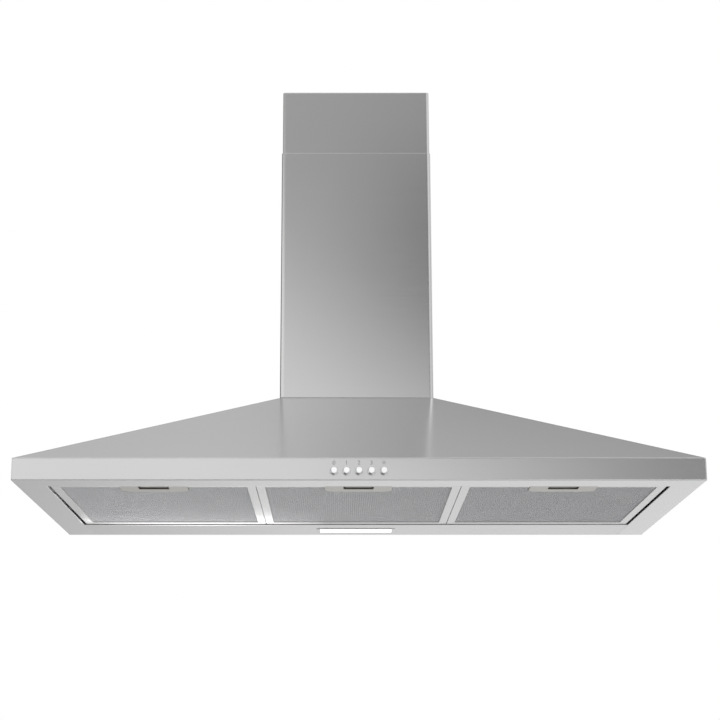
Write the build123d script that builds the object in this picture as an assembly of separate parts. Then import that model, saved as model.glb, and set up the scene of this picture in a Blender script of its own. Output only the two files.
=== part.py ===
"""Wall-mounted chimney range hood, 900 mm wide.

The hood hangs on a wall. Its frame has the origin on the wall plane, in the middle of
the hood's lower edge: x runs to the right, y into the wall and z up, in millimetres.
The front of the hood is at negative y.
"""

from build123d import *
import os
from math import acos, cos, degrees, radians, sin

# --- canopy -------------------------------------------------------------------------
HOOD_WIDTH = 900.0
HOOD_DEPTH = 470.0
HOOD_HEIGHT = 652.0           # with the upper chimney cover drawn out as shown
APRON_HEIGHT = 30.0           # upright band round the lower edge
CANOPY_RISE = 140.0           # height of the sloping panels above the band
SHEET = 0.8                   # stainless sheet of canopy and chimney
BACK_SHEET = 1.0              # galvanised back panel
FOLD_RADIUS = 1.0             # outside radius of the apron's folds
RIDGE_RADIUS = 5.0            # outside radius of the folds between the sloping panels
SIDE_FLANGE = 39.0            # underside flange at each side
FRONT_FLANGE = 43.0           # underside flange behind the apron
FLANGE_LIP = 6.8              # height of the turned-up lip round the filter opening
TOP_RIM = 20.0                # inward rim round the canopy's top opening

# --- chimney covers -----------------------------------------------------------------
CHIMNEY_WIDTH = 226.0
CHIMNEY_DEPTH = 216.0
UPPER_CHIMNEY_LENGTH = 370.0
UPPER_CHIMNEY_SHOWN = 99.0    # how far the upper cover stands out of the lower one
CHIMNEY_GAP = 0.45            # sliding gap between the two covers
CHIMNEY_CORNER = 5.5          # outside radius of the lower cover's front corners
CHIMNEY_RETURN = 15.0         # inward return along each rear edge

# --- filters ------------------------------------------------------------------------
FILTER_COUNT = 3
FILTER_SIDE_GAP = 4.0         # between the outer filters and the side flanges
FILTER_SPACING = 0.8          # between neighbouring filters
FILTER_FRONT_GAP = 1.5
FILTER_REAR_GAP = 4.0         # room for the bow springs
FILTER_BASE = 1.0             # underside of the frame above the hood's lower face
FILTER_THICKNESS = 10.0
FILTER_RAIL = 11.4            # width of the side rails
FRONT_RAIL = 10.0
REAR_RAIL = 14.0
FILTER_SHEET = 0.8
MESH_RECESS = 1.4             # lower mesh above the frame's underside
MESH_SHEET = 0.8              # flattened expanded metal
MESH_PLAY = 0.2               # play of the mesh pack in its channel
TONGUE_OFFSET = 90.0          # hinge tongues either side of a filter's middle
TONGUE_WIDTH = 14.0
TONGUE_SHEET = 1.2
TONGUE_BEAD = 1.5             # radius of the rolled bead that the filter turns on
TONGUE_SLOT_PLAY = 0.5
TONGUE_REACH = 3.0            # behind the lip of the rear panel
HINGE_RAISE = 3.0             # hinge line above the underside of the frame
BOW_OFFSET = 56.0             # bow springs either side of a filter's middle
BOW_LENGTH = 19.0
BOW_HEIGHT = 5.0
BOW_SHEET = 0.4
BOW_FOOT = 3.0
SEAT_GAP = 0.4                # resting gap between pieces of different bodies

# --- filter handle and latch --------------------------------------------------------
HANDLE_WIDTH = 89.0
HANDLE_REACH = 41.0           # from the filter's front edge to the handle's rear edge
HANDLE_BEVEL = 8.0            # cut-off rear corners
HANDLE_BASE = 0.4             # underside of the handle above the hood's lower face
HANDLE_SHEET = 0.6
HANDLE_EDGE = 0.4             # radius of the handle's lower edges
WINDOW_WIDTH = 40.0
WINDOW_LENGTH = 19.0
WINDOW_SETBACK = 3.5          # window behind the filter's front edge
POCKET_WIDTH = 60.0
POCKET_LENGTH = 27.0
POCKET_WALL = 0.8
LATCH_SHEET = 1.2
LATCH_WIDTH = 30.0
LATCH_TRAVEL = 6.5
LATCH_HOLD = 4.2              # tongue past the flange's lip
LATCH_WALL = 2.0              # finger wall
LATCH_PLAY = 0.2
LATCH_SIDE_PLAY = 1.0
RUNNER_WIDTH = 2.2            # ledges that the latch plate slides on

# --- rear panel and lamp ------------------------------------------------------------
REAR_PANEL_DEPTH = 99.0
REAR_LIP = 12.0               # height of the panel's front and rear lips
PANEL_TAB = 12.0              # ends that lie on top of the side flanges
LAMP_CENTRE = 43.0            # lamp's middle from the wall
LAMP_WINDOW_WIDTH = 110.0
LAMP_WINDOW_DEPTH = 33.0
LAMP_BEZEL_BORDER = 5.0
LAMP_BEZEL_THICKNESS = 0.8
LAMP_SKIRT = 1.5
LAMP_SKIRT_HEIGHT = 9.0
LAMP_LENS_THICKNESS = 2.5
LAMP_BOARD_THICKNESS = 1.6
LAMP_TRAY_HEIGHT = 20.0
LAMP_TRAY_SHEET = 0.8
LAMP_TRAY_PLAY = 1.0          # between the tray and the bezel's skirt
LAMP_TRAY_CORNER = 2.0
LED_COUNT = 6
LED_SIZE = 3.5
LED_HEIGHT = 0.8

# --- push buttons -------------------------------------------------------------------
BUTTON_COUNT = 5
BUTTON_PITCH = 16.2
BUTTON_RADIUS = 4.1
BUTTON_HOLE = 4.5             # radius of the hole in the apron
BUTTON_PROUD = 9.0            # in front of the apron
BUTTON_CHAMFER = 0.6
BUTTON_LEVEL = 12.3           # middle of the buttons above the lower edge
BUTTON_COLLAR = 5.2           # radius of the collar behind the apron
BUTTON_COLLAR_THICKNESS = 0.8
BUTTON_TRAVEL = 3.0
STEM_RADIUS = 2.5
STEM_HOLE = 3.5               # radius of the clearance hole in the bracket
STEM_PLAY = 0.08              # running fit of the stem in the switch block
STEM_LENGTH = 10.0            # of the stem inside the switch block
SWITCH_DEPTH = 24.0
SWITCH_HEIGHT = 20.0
SWITCH_MARGIN = 8.0           # block past the outermost buttons' pitch
SWITCH_EAR = 12.0
SWITCH_EAR_SHEET = 3.0
SWITCH_EAR_HEIGHT = 14.0
SWITCH_CORNER = 1.5
SWITCH_BRACKET_SHEET = 1.0
SWITCH_BRACKET_FOOT = 22.0

# --- blower -------------------------------------------------------------------------
FAN_BACK = 120.0              # fan axis from the wall
FAN_BELOW_RIM = 64.0          # fan axis below the canopy's top
WHEEL_RADIUS = 62.0
WHEEL_WIDTH = 104.0
BLADE_COUNT = 32
BLADE_DEPTH = 10.5            # radial depth of a blade
BLADE_CAMBER = 2.6            # height of a blade's curve at mid-depth
BLADE_SWEEP = 3.0             # how far a blade's tip trails its root
BLADE_SHEET = 0.8
WHEEL_DISC = 2.0
WHEEL_RING = 2.0              # width of the end rings
HUB_RADIUS = 10.0
HUB_LENGTH = 16.0
SCROLL_START = 68.0           # scroll radius at the tongue
SCROLL_STEP = 8.0             # growth of the scroll in each quarter turn
TONGUE_ANGLE = 115.0          # where the scroll begins, in degrees from the wall side
SCROLL_SHEET = 1.0
SCROLL_SIDE_GAP = 5.0         # between the wheel and each side plate
INLET_RADIUS = 50.0
INLET_FLARE = 6.0
SIDE_PLATE_FLANGE = 16.0

# --- motor --------------------------------------------------------------------------
SHAFT_RADIUS = 4.0
SHAFT_PLAY = 0.05             # running fit of the shaft in the bearings
SHAFT_OVERHANG = 14.0         # shaft left of the wheel's disc
SHAFT_CHAMFER = 0.5
SHAFT_END_PLAY = 1.0          # past the shaft's end inside the motor
SHAFT_ROOM = 2.0              # round the shaft between its bearings
MOTOR_RADIUS = 40.0
MOTOR_START = 12.0            # from the wheel's middle to the motor's near end
MOTOR_LENGTH = 56.0
MOTOR_BELL = 4.0              # depth of each end bell
MOTOR_SHOULDER = 28.8         # radius where an end bell begins to slope
BEARING_RADIUS = 11.0
BEARING_WIDTH = 7.0
BAND_SHEET = 2.0
BAND_WIDTH = 12.0
ARM_COUNT = 3
ARM_WIDTH = 14.0
ARM_SHEET = 1.6
ARM_BOLT_CIRCLE = 62.0
GROMMET_RADIUS = 5.0
GROMMET_HEIGHT = 2.0

# --- outlet -------------------------------------------------------------------------
DECK_SHEET = 1.2
DECK_PLAY = 0.5               # between the deck and the chimney's inner faces
OUTLET_BACK = 100.0           # duct axis from the wall
ADAPTOR_SHEET = 1.2
ADAPTOR_HEIGHT = 36.0
ADAPTOR_FLANGE = 15.0
COLLAR_RADIUS = 75.0          # outside, for a 150 mm duct
COLLAR_SHEET = 1.2
COLLAR_HEIGHT = 50.0
FLAP_LEVEL = 22.0             # flap axis above the collar's foot
FLAP_SHEET = 0.8
FLAP_PLAY = 1.0               # between the flaps and the collar
FLAP_LEDGE = 1.6
FLAP_PIN = 1.5
KNUCKLE_SHEET = 1.0
KNUCKLE_PLAY = 0.08
KNUCKLE_LENGTH = 18.0
KNUCKLE_APART = 5.4           # between the knuckles of the two flaps
KNUCKLE_STRAP = 2.0           # from a knuckle's outside onto the flap

# --- electrical box -----------------------------------------------------------------
BOX_WIDTH = 90.0
BOX_DEPTH = 38.0
BOX_HEIGHT = 50.0
BOX_WALL = 2.0
BOX_CORNER = 3.0
LID_RIB = 3.0                 # height of the rib inside the lid
BOX_LEFT = 250.0              # left side of the box from the hood's middle
BOX_BOTTOM = 45.0
GLAND_ALONG = 63.0            # gland from the box's left side
GLAND_RADIUS = 10.0           # six-sided cap
GLAND_THREAD = 8.0            # radius of the threaded body
GLAND_FLANGE = 11.5           # radius of the flange
GLAND_TIP = 5.5               # radius at the cap's end
GLAND_STEP = 3.0              # height of flange and tip, and length of the thread inside
GLAND_HEIGHT = 18.0
GLAND_BORE = 4.0
CAPACITOR_RADIUS = 15.0
CAPACITOR_LENGTH = 58.0
CAPACITOR_STUD = 4.0
CAPACITOR_EDGE = 1.2
STUD_INSIDE = 6.0             # stud past the box's wall
STUD_PLAY = 0.1

# --- fixings ------------------------------------------------------------------------
SCREW_RADIUS = 2.0
SCREW_HEAD_RADIUS = 3.5
SCREW_HEAD_HEIGHT = 2.2
SCREW_CROWN = 1.0             # bevel of a pan head
SHORT_SCREW = 6.0
LONG_SCREW = 8.0
CUT_PAST = 5.0                # how far a hole's cut runs past a sheet
OVERRUN = 1.0                 # how far other cuts run past a face
SCREW_HOLE = 2.2              # clearance hole radius
HOOK_SPACING = 560.0
HOOK_WIDTH = 32.0
HOOK_SHEET = 3.0
HOOK_BOTTOM = 50.0
HOOK_HEIGHT = 26.0
HOOK_LIP = 10.0
HOOK_HOLE = 3.25
HOOK_PLAY = 2.0
SAFETY_HOLE_SPACING = 400.0
SAFETY_HOLE_HEIGHT = 32.0
SAFETY_HOLE = 2.75
CHIMNEY_BRACKET_WIDTH = 30.0
CHIMNEY_BRACKET_LEG = 18.0
CHIMNEY_BRACKET_SHEET = 1.5
CHIMNEY_BRACKET_BACK = 60.0   # bracket's middle from the wall
LEG_SHARE = 0.6               # how far along a bracket's leg its screw sits
TOP_BRACKET_HEIGHT = 24.0
TOP_BRACKET_DROP = 2.0        # bracket below the upper cover's top edge
TOP_BRACKET_SHEET = 1.5
TOP_BRACKET_ARM = 28.0
TOP_BRACKET_HOLE = 3.0
TOP_BRACKET_SPACING = 140.0
TOP_BRACKET_PLAY = 1.0         # between the bracket and the upper cover's returns

# --- derived levels and places ------------------------------------------------------
FRONT = -HOOD_DEPTH
HALF_WIDTH = HOOD_WIDTH / 2
CANOPY_TOP = APRON_HEIGHT + CANOPY_RISE
HALF_CHIMNEY = CHIMNEY_WIDTH / 2
OPENING_HALF = HALF_WIDTH - SIDE_FLANGE
OPENING_FRONT = FRONT + FRONT_FLANGE
REAR_PANEL_FRONT = -REAR_PANEL_DEPTH
RIM_HALF = HALF_CHIMNEY - TOP_RIM
RIM_FRONT = -CHIMNEY_DEPTH + TOP_RIM

FILTER_PITCH = (2 * (OPENING_HALF - FILTER_SIDE_GAP) + FILTER_SPACING) / FILTER_COUNT
FILTER_WIDTH = FILTER_PITCH - FILTER_SPACING
FILTER_FRONT = OPENING_FRONT + FILTER_FRONT_GAP
FILTER_REAR = REAR_PANEL_FRONT - FILTER_REAR_GAP
FILTER_TOP = FILTER_BASE + FILTER_THICKNESS
HINGE_Y = REAR_PANEL_FRONT + SHEET / 2
HINGE_Z = FILTER_BASE + HINGE_RAISE

LATCH_LEVEL = FLANGE_LIP + LATCH_PLAY
WINDOW_FRONT = FILTER_FRONT + WINDOW_SETBACK
WINDOW_REAR = WINDOW_FRONT + WINDOW_LENGTH
HANDLE_TOP = HANDLE_BASE + HANDLE_SHEET

SWITCH_HALF = BUTTON_COUNT * BUTTON_PITCH / 2 + SWITCH_MARGIN
APRON_BACK = FRONT + SHEET
COLLAR_FACE = APRON_BACK + LATCH_PLAY
BRACKET_FACE = COLLAR_FACE + BUTTON_COLLAR_THICKNESS + BUTTON_TRAVEL + LATCH_PLAY * 2
SWITCH_FACE = BRACKET_FACE + SWITCH_BRACKET_SHEET

FAN_Y = -FAN_BACK
FAN_Z = CANOPY_TOP - FAN_BELOW_RIM
SCROLL_HALF = WHEEL_WIDTH / 2 + SCROLL_SIDE_GAP
SCROLL_REAR = FAN_Y + SCROLL_START + 3 * SCROLL_STEP
SCROLL_TONGUE = FAN_Y + SCROLL_START * cos(radians(TONGUE_ANGLE))

DECK_TOP = CANOPY_TOP + DECK_SHEET
DUCT_Y = -OUTLET_BACK
COLLAR_FOOT = DECK_TOP + ADAPTOR_HEIGHT
COLLAR_TOP = COLLAR_FOOT + COLLAR_HEIGHT
COLLAR_BORE = COLLAR_RADIUS - COLLAR_SHEET
FLAP_Z = COLLAR_FOOT + FLAP_LEVEL

CHIMNEY_TOP = HOOD_HEIGHT
LOWER_CHIMNEY_TOP = CHIMNEY_TOP - UPPER_CHIMNEY_SHOWN
NESTING = SHEET + CHIMNEY_GAP

MIRRORED = (-1, 1)


def block(x, y, z):
    """Plain block between three pairs of coordinates."""
    size = [high - low for low, high in (x, y, z)]
    middle = [(high + low) / 2 for low, high in (x, y, z)]
    return Pos(*middle) * Box(*size)


def about(middle, width):
    """Pair of coordinates that lie evenly about a middle."""
    return (middle - width / 2, middle + width / 2)


def rod(radius, start, end):
    """Round bar from one point to another."""
    run = Vector(*end) - Vector(*start)
    return extrude(Plane(origin=start, z_dir=run) * Circle(radius), run.length)


def screw(seat, pointing, length):
    """Pan-head screw whose head seats at a point, with its shank along a direction."""
    seat, along = Vector(*seat), Vector(*pointing).normalized()
    shank = rod(SCREW_RADIUS, seat, seat + along * length)
    head = rod(SCREW_HEAD_RADIUS, seat, seat - along * SCREW_HEAD_HEIGHT)
    crown = head.faces().sort_by(Axis(seat, along * -1))[-1]
    return shank + chamfer(crown.edges(), SCREW_CROWN)


def screw_hole(seat, pointing):
    """Round clearance cut for a screw, running past its seat to both sides."""
    seat, along = Vector(*seat), Vector(*pointing).normalized() * CUT_PAST
    return rod(SCREW_HOLE, seat - along, seat + along)


def wall_hole(radius, x, level):
    """Cut for a wall screw, along y, through whatever lies against the wall."""
    return rod(radius, (x, -2 * CUT_PAST, level), (x, CUT_PAST, level))


# --- canopy -------------------------------------------------------------------------
def canopy_form(inset, rear):
    """Solid form of the canopy, drawn in by an inset, as two crossing prisms."""
    front_view = Polygon(
        (-HALF_WIDTH, 0),
        (HALF_WIDTH, 0),
        (HALF_WIDTH, APRON_HEIGHT),
        (HALF_CHIMNEY, CANOPY_TOP),
        (-HALF_CHIMNEY, CANOPY_TOP),
        (-HALF_WIDTH, APRON_HEIGHT),
        align=None,
    )
    side_view = Polygon(
        (FRONT, 0),
        (HOOD_DEPTH, 0),
        (HOOD_DEPTH, CANOPY_TOP),
        (-CHIMNEY_DEPTH, CANOPY_TOP),
        (FRONT, APRON_HEIGHT),
        align=None,
    )
    if inset:
        front_view = offset(front_view, -inset, kind=Kind.INTERSECTION)
        side_view = offset(side_view, -inset, kind=Kind.INTERSECTION)
    lengthwise = extrude(Plane.XZ.offset(-rear) * front_view, HOOD_DEPTH + rear + OVERRUN)
    crosswise = extrude(Plane.YZ * side_view, HOOD_WIDTH, both=True)
    return lengthwise & crosswise


def rim_screw_points():
    """Places of the four screws that hold the deck to the canopy's rim."""
    x = HALF_CHIMNEY - TOP_RIM / 2
    rows = (-CHIMNEY_DEPTH + TOP_RIM * 1.5, -TOP_RIM * 1.5)
    return [(side * x, y) for side in MIRRORED for y in rows]


def button_places():
    """Middles of the push buttons, from left to right."""
    first = -(BUTTON_COUNT - 1) / 2 * BUTTON_PITCH
    return [first + index * BUTTON_PITCH for index in range(BUTTON_COUNT)]


def lies_on_ridge(edge):
    """Whether an edge is one of the two sloping folds between front and side panels."""
    start, end = edge.position_at(0), edge.position_at(1)
    apart = [abs(start.X - end.X), abs(start.Y - end.Y), abs(start.Z - end.Z)]
    return min(apart) > CANOPY_RISE / 2


def canopy_shell():
    """Welded skin: sloping panels, apron, underside flanges and top rim."""
    outer = canopy_form(0, -BACK_SHEET)
    outer = fillet(outer.edges().filter_by(lies_on_ridge), RIDGE_RADIUS)
    folds = outer.edges().filter_by(lambda edge: edge.center().Y < -BACK_SHEET - 0.1)
    low_folds = folds.filter_by(lambda edge: edge.center().Z < APRON_HEIGHT + 0.1)
    outer = fillet(low_folds, FOLD_RADIUS)
    shell = outer - canopy_form(SHEET, BACK_SHEET)
    shell -= block(
        about(0, 2 * OPENING_HALF), (OPENING_FRONT, OVERRUN), (-OVERRUN, APRON_HEIGHT / 2)
    )
    shell -= block(
        about(0, 2 * RIM_HALF),
        (RIM_FRONT, -TOP_RIM),
        (CANOPY_TOP - SHEET - OVERRUN, CANOPY_TOP + OVERRUN),
    )
    front_lip = (OPENING_FRONT - SHEET, OPENING_FRONT)
    shell += block(about(0, 2 * OPENING_HALF), front_lip, (0, FLANGE_LIP))
    for side in MIRRORED:
        lip_x = sorted((side * OPENING_HALF, side * (OPENING_HALF + SHEET)))
        shell += block(lip_x, (front_lip[0], REAR_PANEL_FRONT), (0, FLANGE_LIP))
    for x in button_places():
        outside, inside = FRONT - OVERRUN, APRON_BACK + OVERRUN
        shell -= rod(BUTTON_HOLE, (x, outside, BUTTON_LEVEL), (x, inside, BUTTON_LEVEL))
    for x, y in rim_screw_points():
        shell -= screw_hole((x, y, CANOPY_TOP), (0, 0, 1))
    return shell


def hook_places():
    """Middles of the two wall hooks."""
    return [side * HOOK_SPACING / 2 for side in MIRRORED]


def canopy_back_panel():
    """Upright galvanised panel against the wall, with openings for the hooks."""
    panel = canopy_form(0, 0) & block(
        about(0, 2 * HOOD_WIDTH), (-BACK_SHEET, 0), (0, CANOPY_TOP)
    )
    hook_top = HOOK_BOTTOM + HOOK_HEIGHT
    for x in hook_places():
        opening = about(x, HOOK_WIDTH + 2 * HOOK_PLAY)
        panel -= block(opening, (-CUT_PAST, CUT_PAST), (HOOK_BOTTOM - HOOK_PLAY, hook_top))
    for side in MIRRORED:
        x = side * SAFETY_HOLE_SPACING / 2
        panel -= wall_hole(SAFETY_HOLE, x, SAFETY_HOLE_HEIGHT)
    return panel


def wall_hooks():
    """Two joggled steel hooks that the back panel hangs on."""
    hooks = []
    top = HOOK_BOTTOM + HOOK_HEIGHT
    lip_face = -BACK_SHEET - LATCH_PLAY
    for x in hook_places():
        plate = block(about(x, HOOK_WIDTH), (-HOOK_SHEET, 0), (HOOK_BOTTOM, top))
        lip = block(
            about(x, HOOK_WIDTH),
            (lip_face - HOOK_SHEET, lip_face),
            (top - 2 * HOOK_SHEET, top + HOOK_LIP),
        )
        hook = plate + lip
        hole_z = HOOK_BOTTOM + HOOK_HEIGHT / 3
        hooks.append(hook - wall_hole(HOOK_HOLE, x, hole_z))
    return hooks


# --- rear panel and lamp ------------------------------------------------------------
def filter_places():
    """Middles of the filters, from left to right."""
    first = -(FILTER_COUNT - 1) / 2 * FILTER_PITCH
    return [first + index * FILTER_PITCH for index in range(FILTER_COUNT)]


def lamp_middle():
    """Middle of the lamp, from the wall."""
    return -LAMP_CENTRE


def rear_panel():
    """Underside panel along the wall, with lips, lamp cut-out and filter slots."""
    ends = about(0, 2 * OPENING_HALF - MESH_PLAY)
    depth = (REAR_PANEL_FRONT, -BACK_SHEET)
    panel = block(ends, depth, (0, SHEET))
    panel += block(ends, (REAR_PANEL_FRONT, REAR_PANEL_FRONT + SHEET), (0, REAR_LIP))
    panel += block(ends, (-BACK_SHEET - SHEET, -BACK_SHEET), (0, REAR_LIP))
    tab_depth = (REAR_PANEL_FRONT + 4 * SHEET, -BACK_SHEET - 4 * SHEET)
    for side in MIRRORED:
        root, end = side * (OPENING_HALF - 4 * SHEET), side * (OPENING_HALF + PANEL_TAB)
        panel += block(sorted((root, end)), tab_depth, (SHEET, 2 * SHEET))
    cutout = LAMP_SKIRT * 2 + MESH_PLAY
    panel -= block(
        about(0, LAMP_WINDOW_WIDTH + cutout),
        about(lamp_middle(), LAMP_WINDOW_DEPTH + cutout),
        (-OVERRUN, SHEET + OVERRUN),
    )
    reach = TONGUE_BEAD + TONGUE_SLOT_PLAY
    for middle in filter_places():
        for side in MIRRORED:
            slot = about(middle + side * TONGUE_OFFSET, TONGUE_WIDTH + 4 * TONGUE_SLOT_PLAY)
            panel -= block(
                slot,
                (REAR_PANEL_FRONT - OVERRUN, REAR_PANEL_FRONT + SHEET + OVERRUN),
                (HINGE_Z - reach, HINGE_Z + reach),
            )
    return panel


def lamp_bezel():
    """Snap-in frame of the lamp: a thin border below the panel and a skirt above."""
    border = extrude(
        Pos(0, lamp_middle(), -LAMP_BEZEL_THICKNESS)
        * RectangleRounded(
            LAMP_WINDOW_WIDTH + 2 * LAMP_BEZEL_BORDER,
            LAMP_WINDOW_DEPTH + 2 * LAMP_BEZEL_BORDER,
            LAMP_BEZEL_BORDER,
        ),
        LAMP_BEZEL_THICKNESS,
    )
    skirt = block(
        about(0, LAMP_WINDOW_WIDTH + 2 * LAMP_SKIRT),
        about(lamp_middle(), LAMP_WINDOW_DEPTH + 2 * LAMP_SKIRT),
        (0, LAMP_SKIRT_HEIGHT),
    )
    opening = block(
        about(0, LAMP_WINDOW_WIDTH),
        about(lamp_middle(), LAMP_WINDOW_DEPTH),
        (-LAMP_BEZEL_THICKNESS - OVERRUN, LAMP_SKIRT_HEIGHT + OVERRUN),
    )
    return border + skirt - opening


def lamp_lens():
    """Frosted diffuser that fills the bezel."""
    return block(
        about(0, LAMP_WINDOW_WIDTH - MESH_PLAY),
        about(lamp_middle(), LAMP_WINDOW_DEPTH - MESH_PLAY),
        (-LAMP_BEZEL_THICKNESS / 2, LAMP_LENS_THICKNESS),
    )


def lamp_board():
    """Circuit board with its row of LEDs, lying on the bezel's skirt."""
    level = LAMP_SKIRT_HEIGHT
    board = block(
        about(0, LAMP_WINDOW_WIDTH + 2 * LAMP_SKIRT),
        about(lamp_middle(), LAMP_WINDOW_DEPTH + 2 * LAMP_SKIRT),
        (level, level + LAMP_BOARD_THICKNESS),
    )
    pitch = LAMP_WINDOW_WIDTH / LED_COUNT
    for index in range(LED_COUNT):
        x = (index + 0.5) * pitch - LAMP_WINDOW_WIDTH / 2
        board += block(
            about(x, LED_SIZE), about(lamp_middle(), LED_SIZE), (level - LED_HEIGHT, level)
        )
    return board


def lamp_tray():
    """Pressed steel cover over the lamp, standing on the rear panel."""
    around = LAMP_SKIRT + LAMP_TRAY_SHEET + LAMP_TRAY_PLAY
    half_x = LAMP_WINDOW_WIDTH / 2 + around
    half_y = LAMP_WINDOW_DEPTH / 2 + around
    top = SHEET + LAMP_TRAY_HEIGHT
    outer = block(about(0, 2 * half_x), about(lamp_middle(), 2 * half_y), (SHEET, top))
    outer = fillet(outer.faces().sort_by(Axis.Z)[-1].edges(), LAMP_TRAY_CORNER)
    inner = block(
        about(0, 2 * (half_x - LAMP_TRAY_SHEET)),
        about(lamp_middle(), 2 * (half_y - LAMP_TRAY_SHEET)),
        (0, top - LAMP_TRAY_SHEET),
    )
    return outer - inner


# --- chimney ------------------------------------------------------------------------
def chimney_cover(inset, low, high):
    """Folded cover, open along the wall between its two returns."""
    half = HALF_CHIMNEY - inset
    front, rear = -CHIMNEY_DEPTH + inset, -inset

    def outline(drawn_in):
        plan = Polygon(
            (-half + drawn_in, front + drawn_in),
            (half - drawn_in, front + drawn_in),
            (half - drawn_in, rear - drawn_in),
            (-half + drawn_in, rear - drawn_in),
            align=None,
        )
        return fillet(plan.vertices().sort_by(Axis.Y)[:2], CHIMNEY_CORNER - inset - drawn_in)

    plan = outline(0) - outline(SHEET)
    gap = 2 * (half - CHIMNEY_RETURN)
    plan -= Pos(0, rear) * Rectangle(gap, 4 * SHEET)
    return extrude(Pos(0, 0, low) * plan, high - low, dir=(0, 0, 1))


def chimney_bracket_screw(side):
    """Seat of the screw through one side of the lower cover."""
    return (
        side * HALF_CHIMNEY,
        -CHIMNEY_BRACKET_BACK,
        DECK_TOP + CHIMNEY_BRACKET_LEG * LEG_SHARE,
    )


def lower_chimney():
    """Lower chimney cover, standing on the canopy's rim."""
    cover = chimney_cover(0, CANOPY_TOP, LOWER_CHIMNEY_TOP)
    for side in MIRRORED:
        cover -= screw_hole(chimney_bracket_screw(side), (side, 0, 0))
    return cover


def chimney_brackets():
    """Two angles that hold the lower cover to the deck."""
    brackets = []
    face = HALF_CHIMNEY - SHEET
    depth = about(-CHIMNEY_BRACKET_BACK, CHIMNEY_BRACKET_WIDTH)
    for side in MIRRORED:
        foot_x = sorted((side * face, side * (face - CHIMNEY_BRACKET_LEG)))
        leg_x = sorted((side * face, side * (face - CHIMNEY_BRACKET_SHEET)))
        foot = block(foot_x, depth, (DECK_TOP, DECK_TOP + CHIMNEY_BRACKET_SHEET))
        leg = block(leg_x, depth, (DECK_TOP, DECK_TOP + CHIMNEY_BRACKET_LEG))
        cut = screw_hole(chimney_bracket_screw(side), (side, 0, 0))
        brackets.append(foot + leg - cut)
    return brackets


def top_bracket_screw(side):
    """Seat of the screw through one side of the upper cover."""
    return (
        side * (HALF_CHIMNEY - NESTING),
        -NESTING - SHEET - TOP_BRACKET_ARM * LEG_SHARE,
        CHIMNEY_TOP - TOP_BRACKET_DROP - TOP_BRACKET_HEIGHT / 2,
    )


def upper_chimney():
    """Upper chimney cover, sliding inside the lower one."""
    cover = chimney_cover(NESTING, CHIMNEY_TOP - UPPER_CHIMNEY_LENGTH, CHIMNEY_TOP)
    for side in MIRRORED:
        cover -= screw_hole(top_bracket_screw(side), (side, 0, 0))
    return cover


def top_bracket():
    """Bent strip that holds the upper cover to the wall."""
    sheet = TOP_BRACKET_SHEET
    inside = HALF_CHIMNEY - NESTING - SHEET
    step = -NESTING - SHEET
    wall_half = HALF_CHIMNEY - NESTING - CHIMNEY_RETURN - TOP_BRACKET_PLAY
    end = step - TOP_BRACKET_ARM
    plan = Polygon(
        (0, 0),
        (wall_half, 0),
        (wall_half, step),
        (inside, step),
        (inside, end),
        (inside - sheet, end),
        (inside - sheet, step - sheet),
        (wall_half - sheet, step - sheet),
        (wall_half - sheet, -sheet),
        (0, -sheet),
        align=None,
    )
    plan += mirror(plan, Plane.YZ)
    top = CHIMNEY_TOP - TOP_BRACKET_DROP
    bracket = extrude(
        Pos(0, 0, top - TOP_BRACKET_HEIGHT) * plan, TOP_BRACKET_HEIGHT, dir=(0, 0, 1)
    )
    level = top - TOP_BRACKET_HEIGHT / 2
    for side in MIRRORED:
        x = side * TOP_BRACKET_SPACING / 2
        bracket -= wall_hole(TOP_BRACKET_HOLE, x, level)
        bracket -= screw_hole(top_bracket_screw(side), (side, 0, 0))
    return bracket


# --- blower -------------------------------------------------------------------------
def scroll_outline(grow):
    """Plan of the scroll as seen from its side, grown outward by a sheet's thickness."""
    radii = [SCROLL_START + quarter * SCROLL_STEP + grow for quarter in range(3)]
    start_y = SCROLL_TONGUE - grow
    angle = degrees(acos((start_y - FAN_Y) / radii[0]))
    start = (start_y, FAN_Z + radii[0] * sin(radians(angle)))
    shifted_y, raised_z = FAN_Y + SCROLL_STEP, FAN_Z + SCROLL_STEP
    rear = SCROLL_REAR + grow
    curve = [
        Line((start_y, CANOPY_TOP), start),
        CenterArc((FAN_Y, FAN_Z), radii[0], angle, 180 - angle),
        CenterArc((shifted_y, FAN_Z), radii[1], 180, 90),
        CenterArc((shifted_y, raised_z), radii[2], 270, 90),
        Line((rear, raised_z), (rear, CANOPY_TOP)),
        Line((rear, CANOPY_TOP), (start_y, CANOPY_TOP)),
    ]
    return make_face(curve)


def blower_scroll():
    """Wrap of the scroll housing, open at the top."""
    wall = scroll_outline(SCROLL_SHEET) - scroll_outline(0)
    return extrude(Plane.YZ * wall, SCROLL_HALF, both=True)


def flange_screw_points():
    """Places of the four screws through adaptor, deck and side plates."""
    x = SCROLL_HALF + SCROLL_SHEET + SIDE_PLATE_FLANGE / 2
    inset = SIDE_PLATE_FLANGE / 2
    rows = (SCROLL_TONGUE + inset, SCROLL_REAR - inset)
    return [(side * x, y) for side in MIRRORED for y in rows]


def arm_angles():
    """Directions of the motor arms, in degrees from the wall side."""
    return [-90 + index * 360 / ARM_COUNT for index in range(ARM_COUNT)]


def around_fan(radius, angle):
    """Point at a radius and angle about the fan axis, as y and z."""
    return (FAN_Y + radius * cos(radians(angle)), FAN_Z + radius * sin(radians(angle)))


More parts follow.
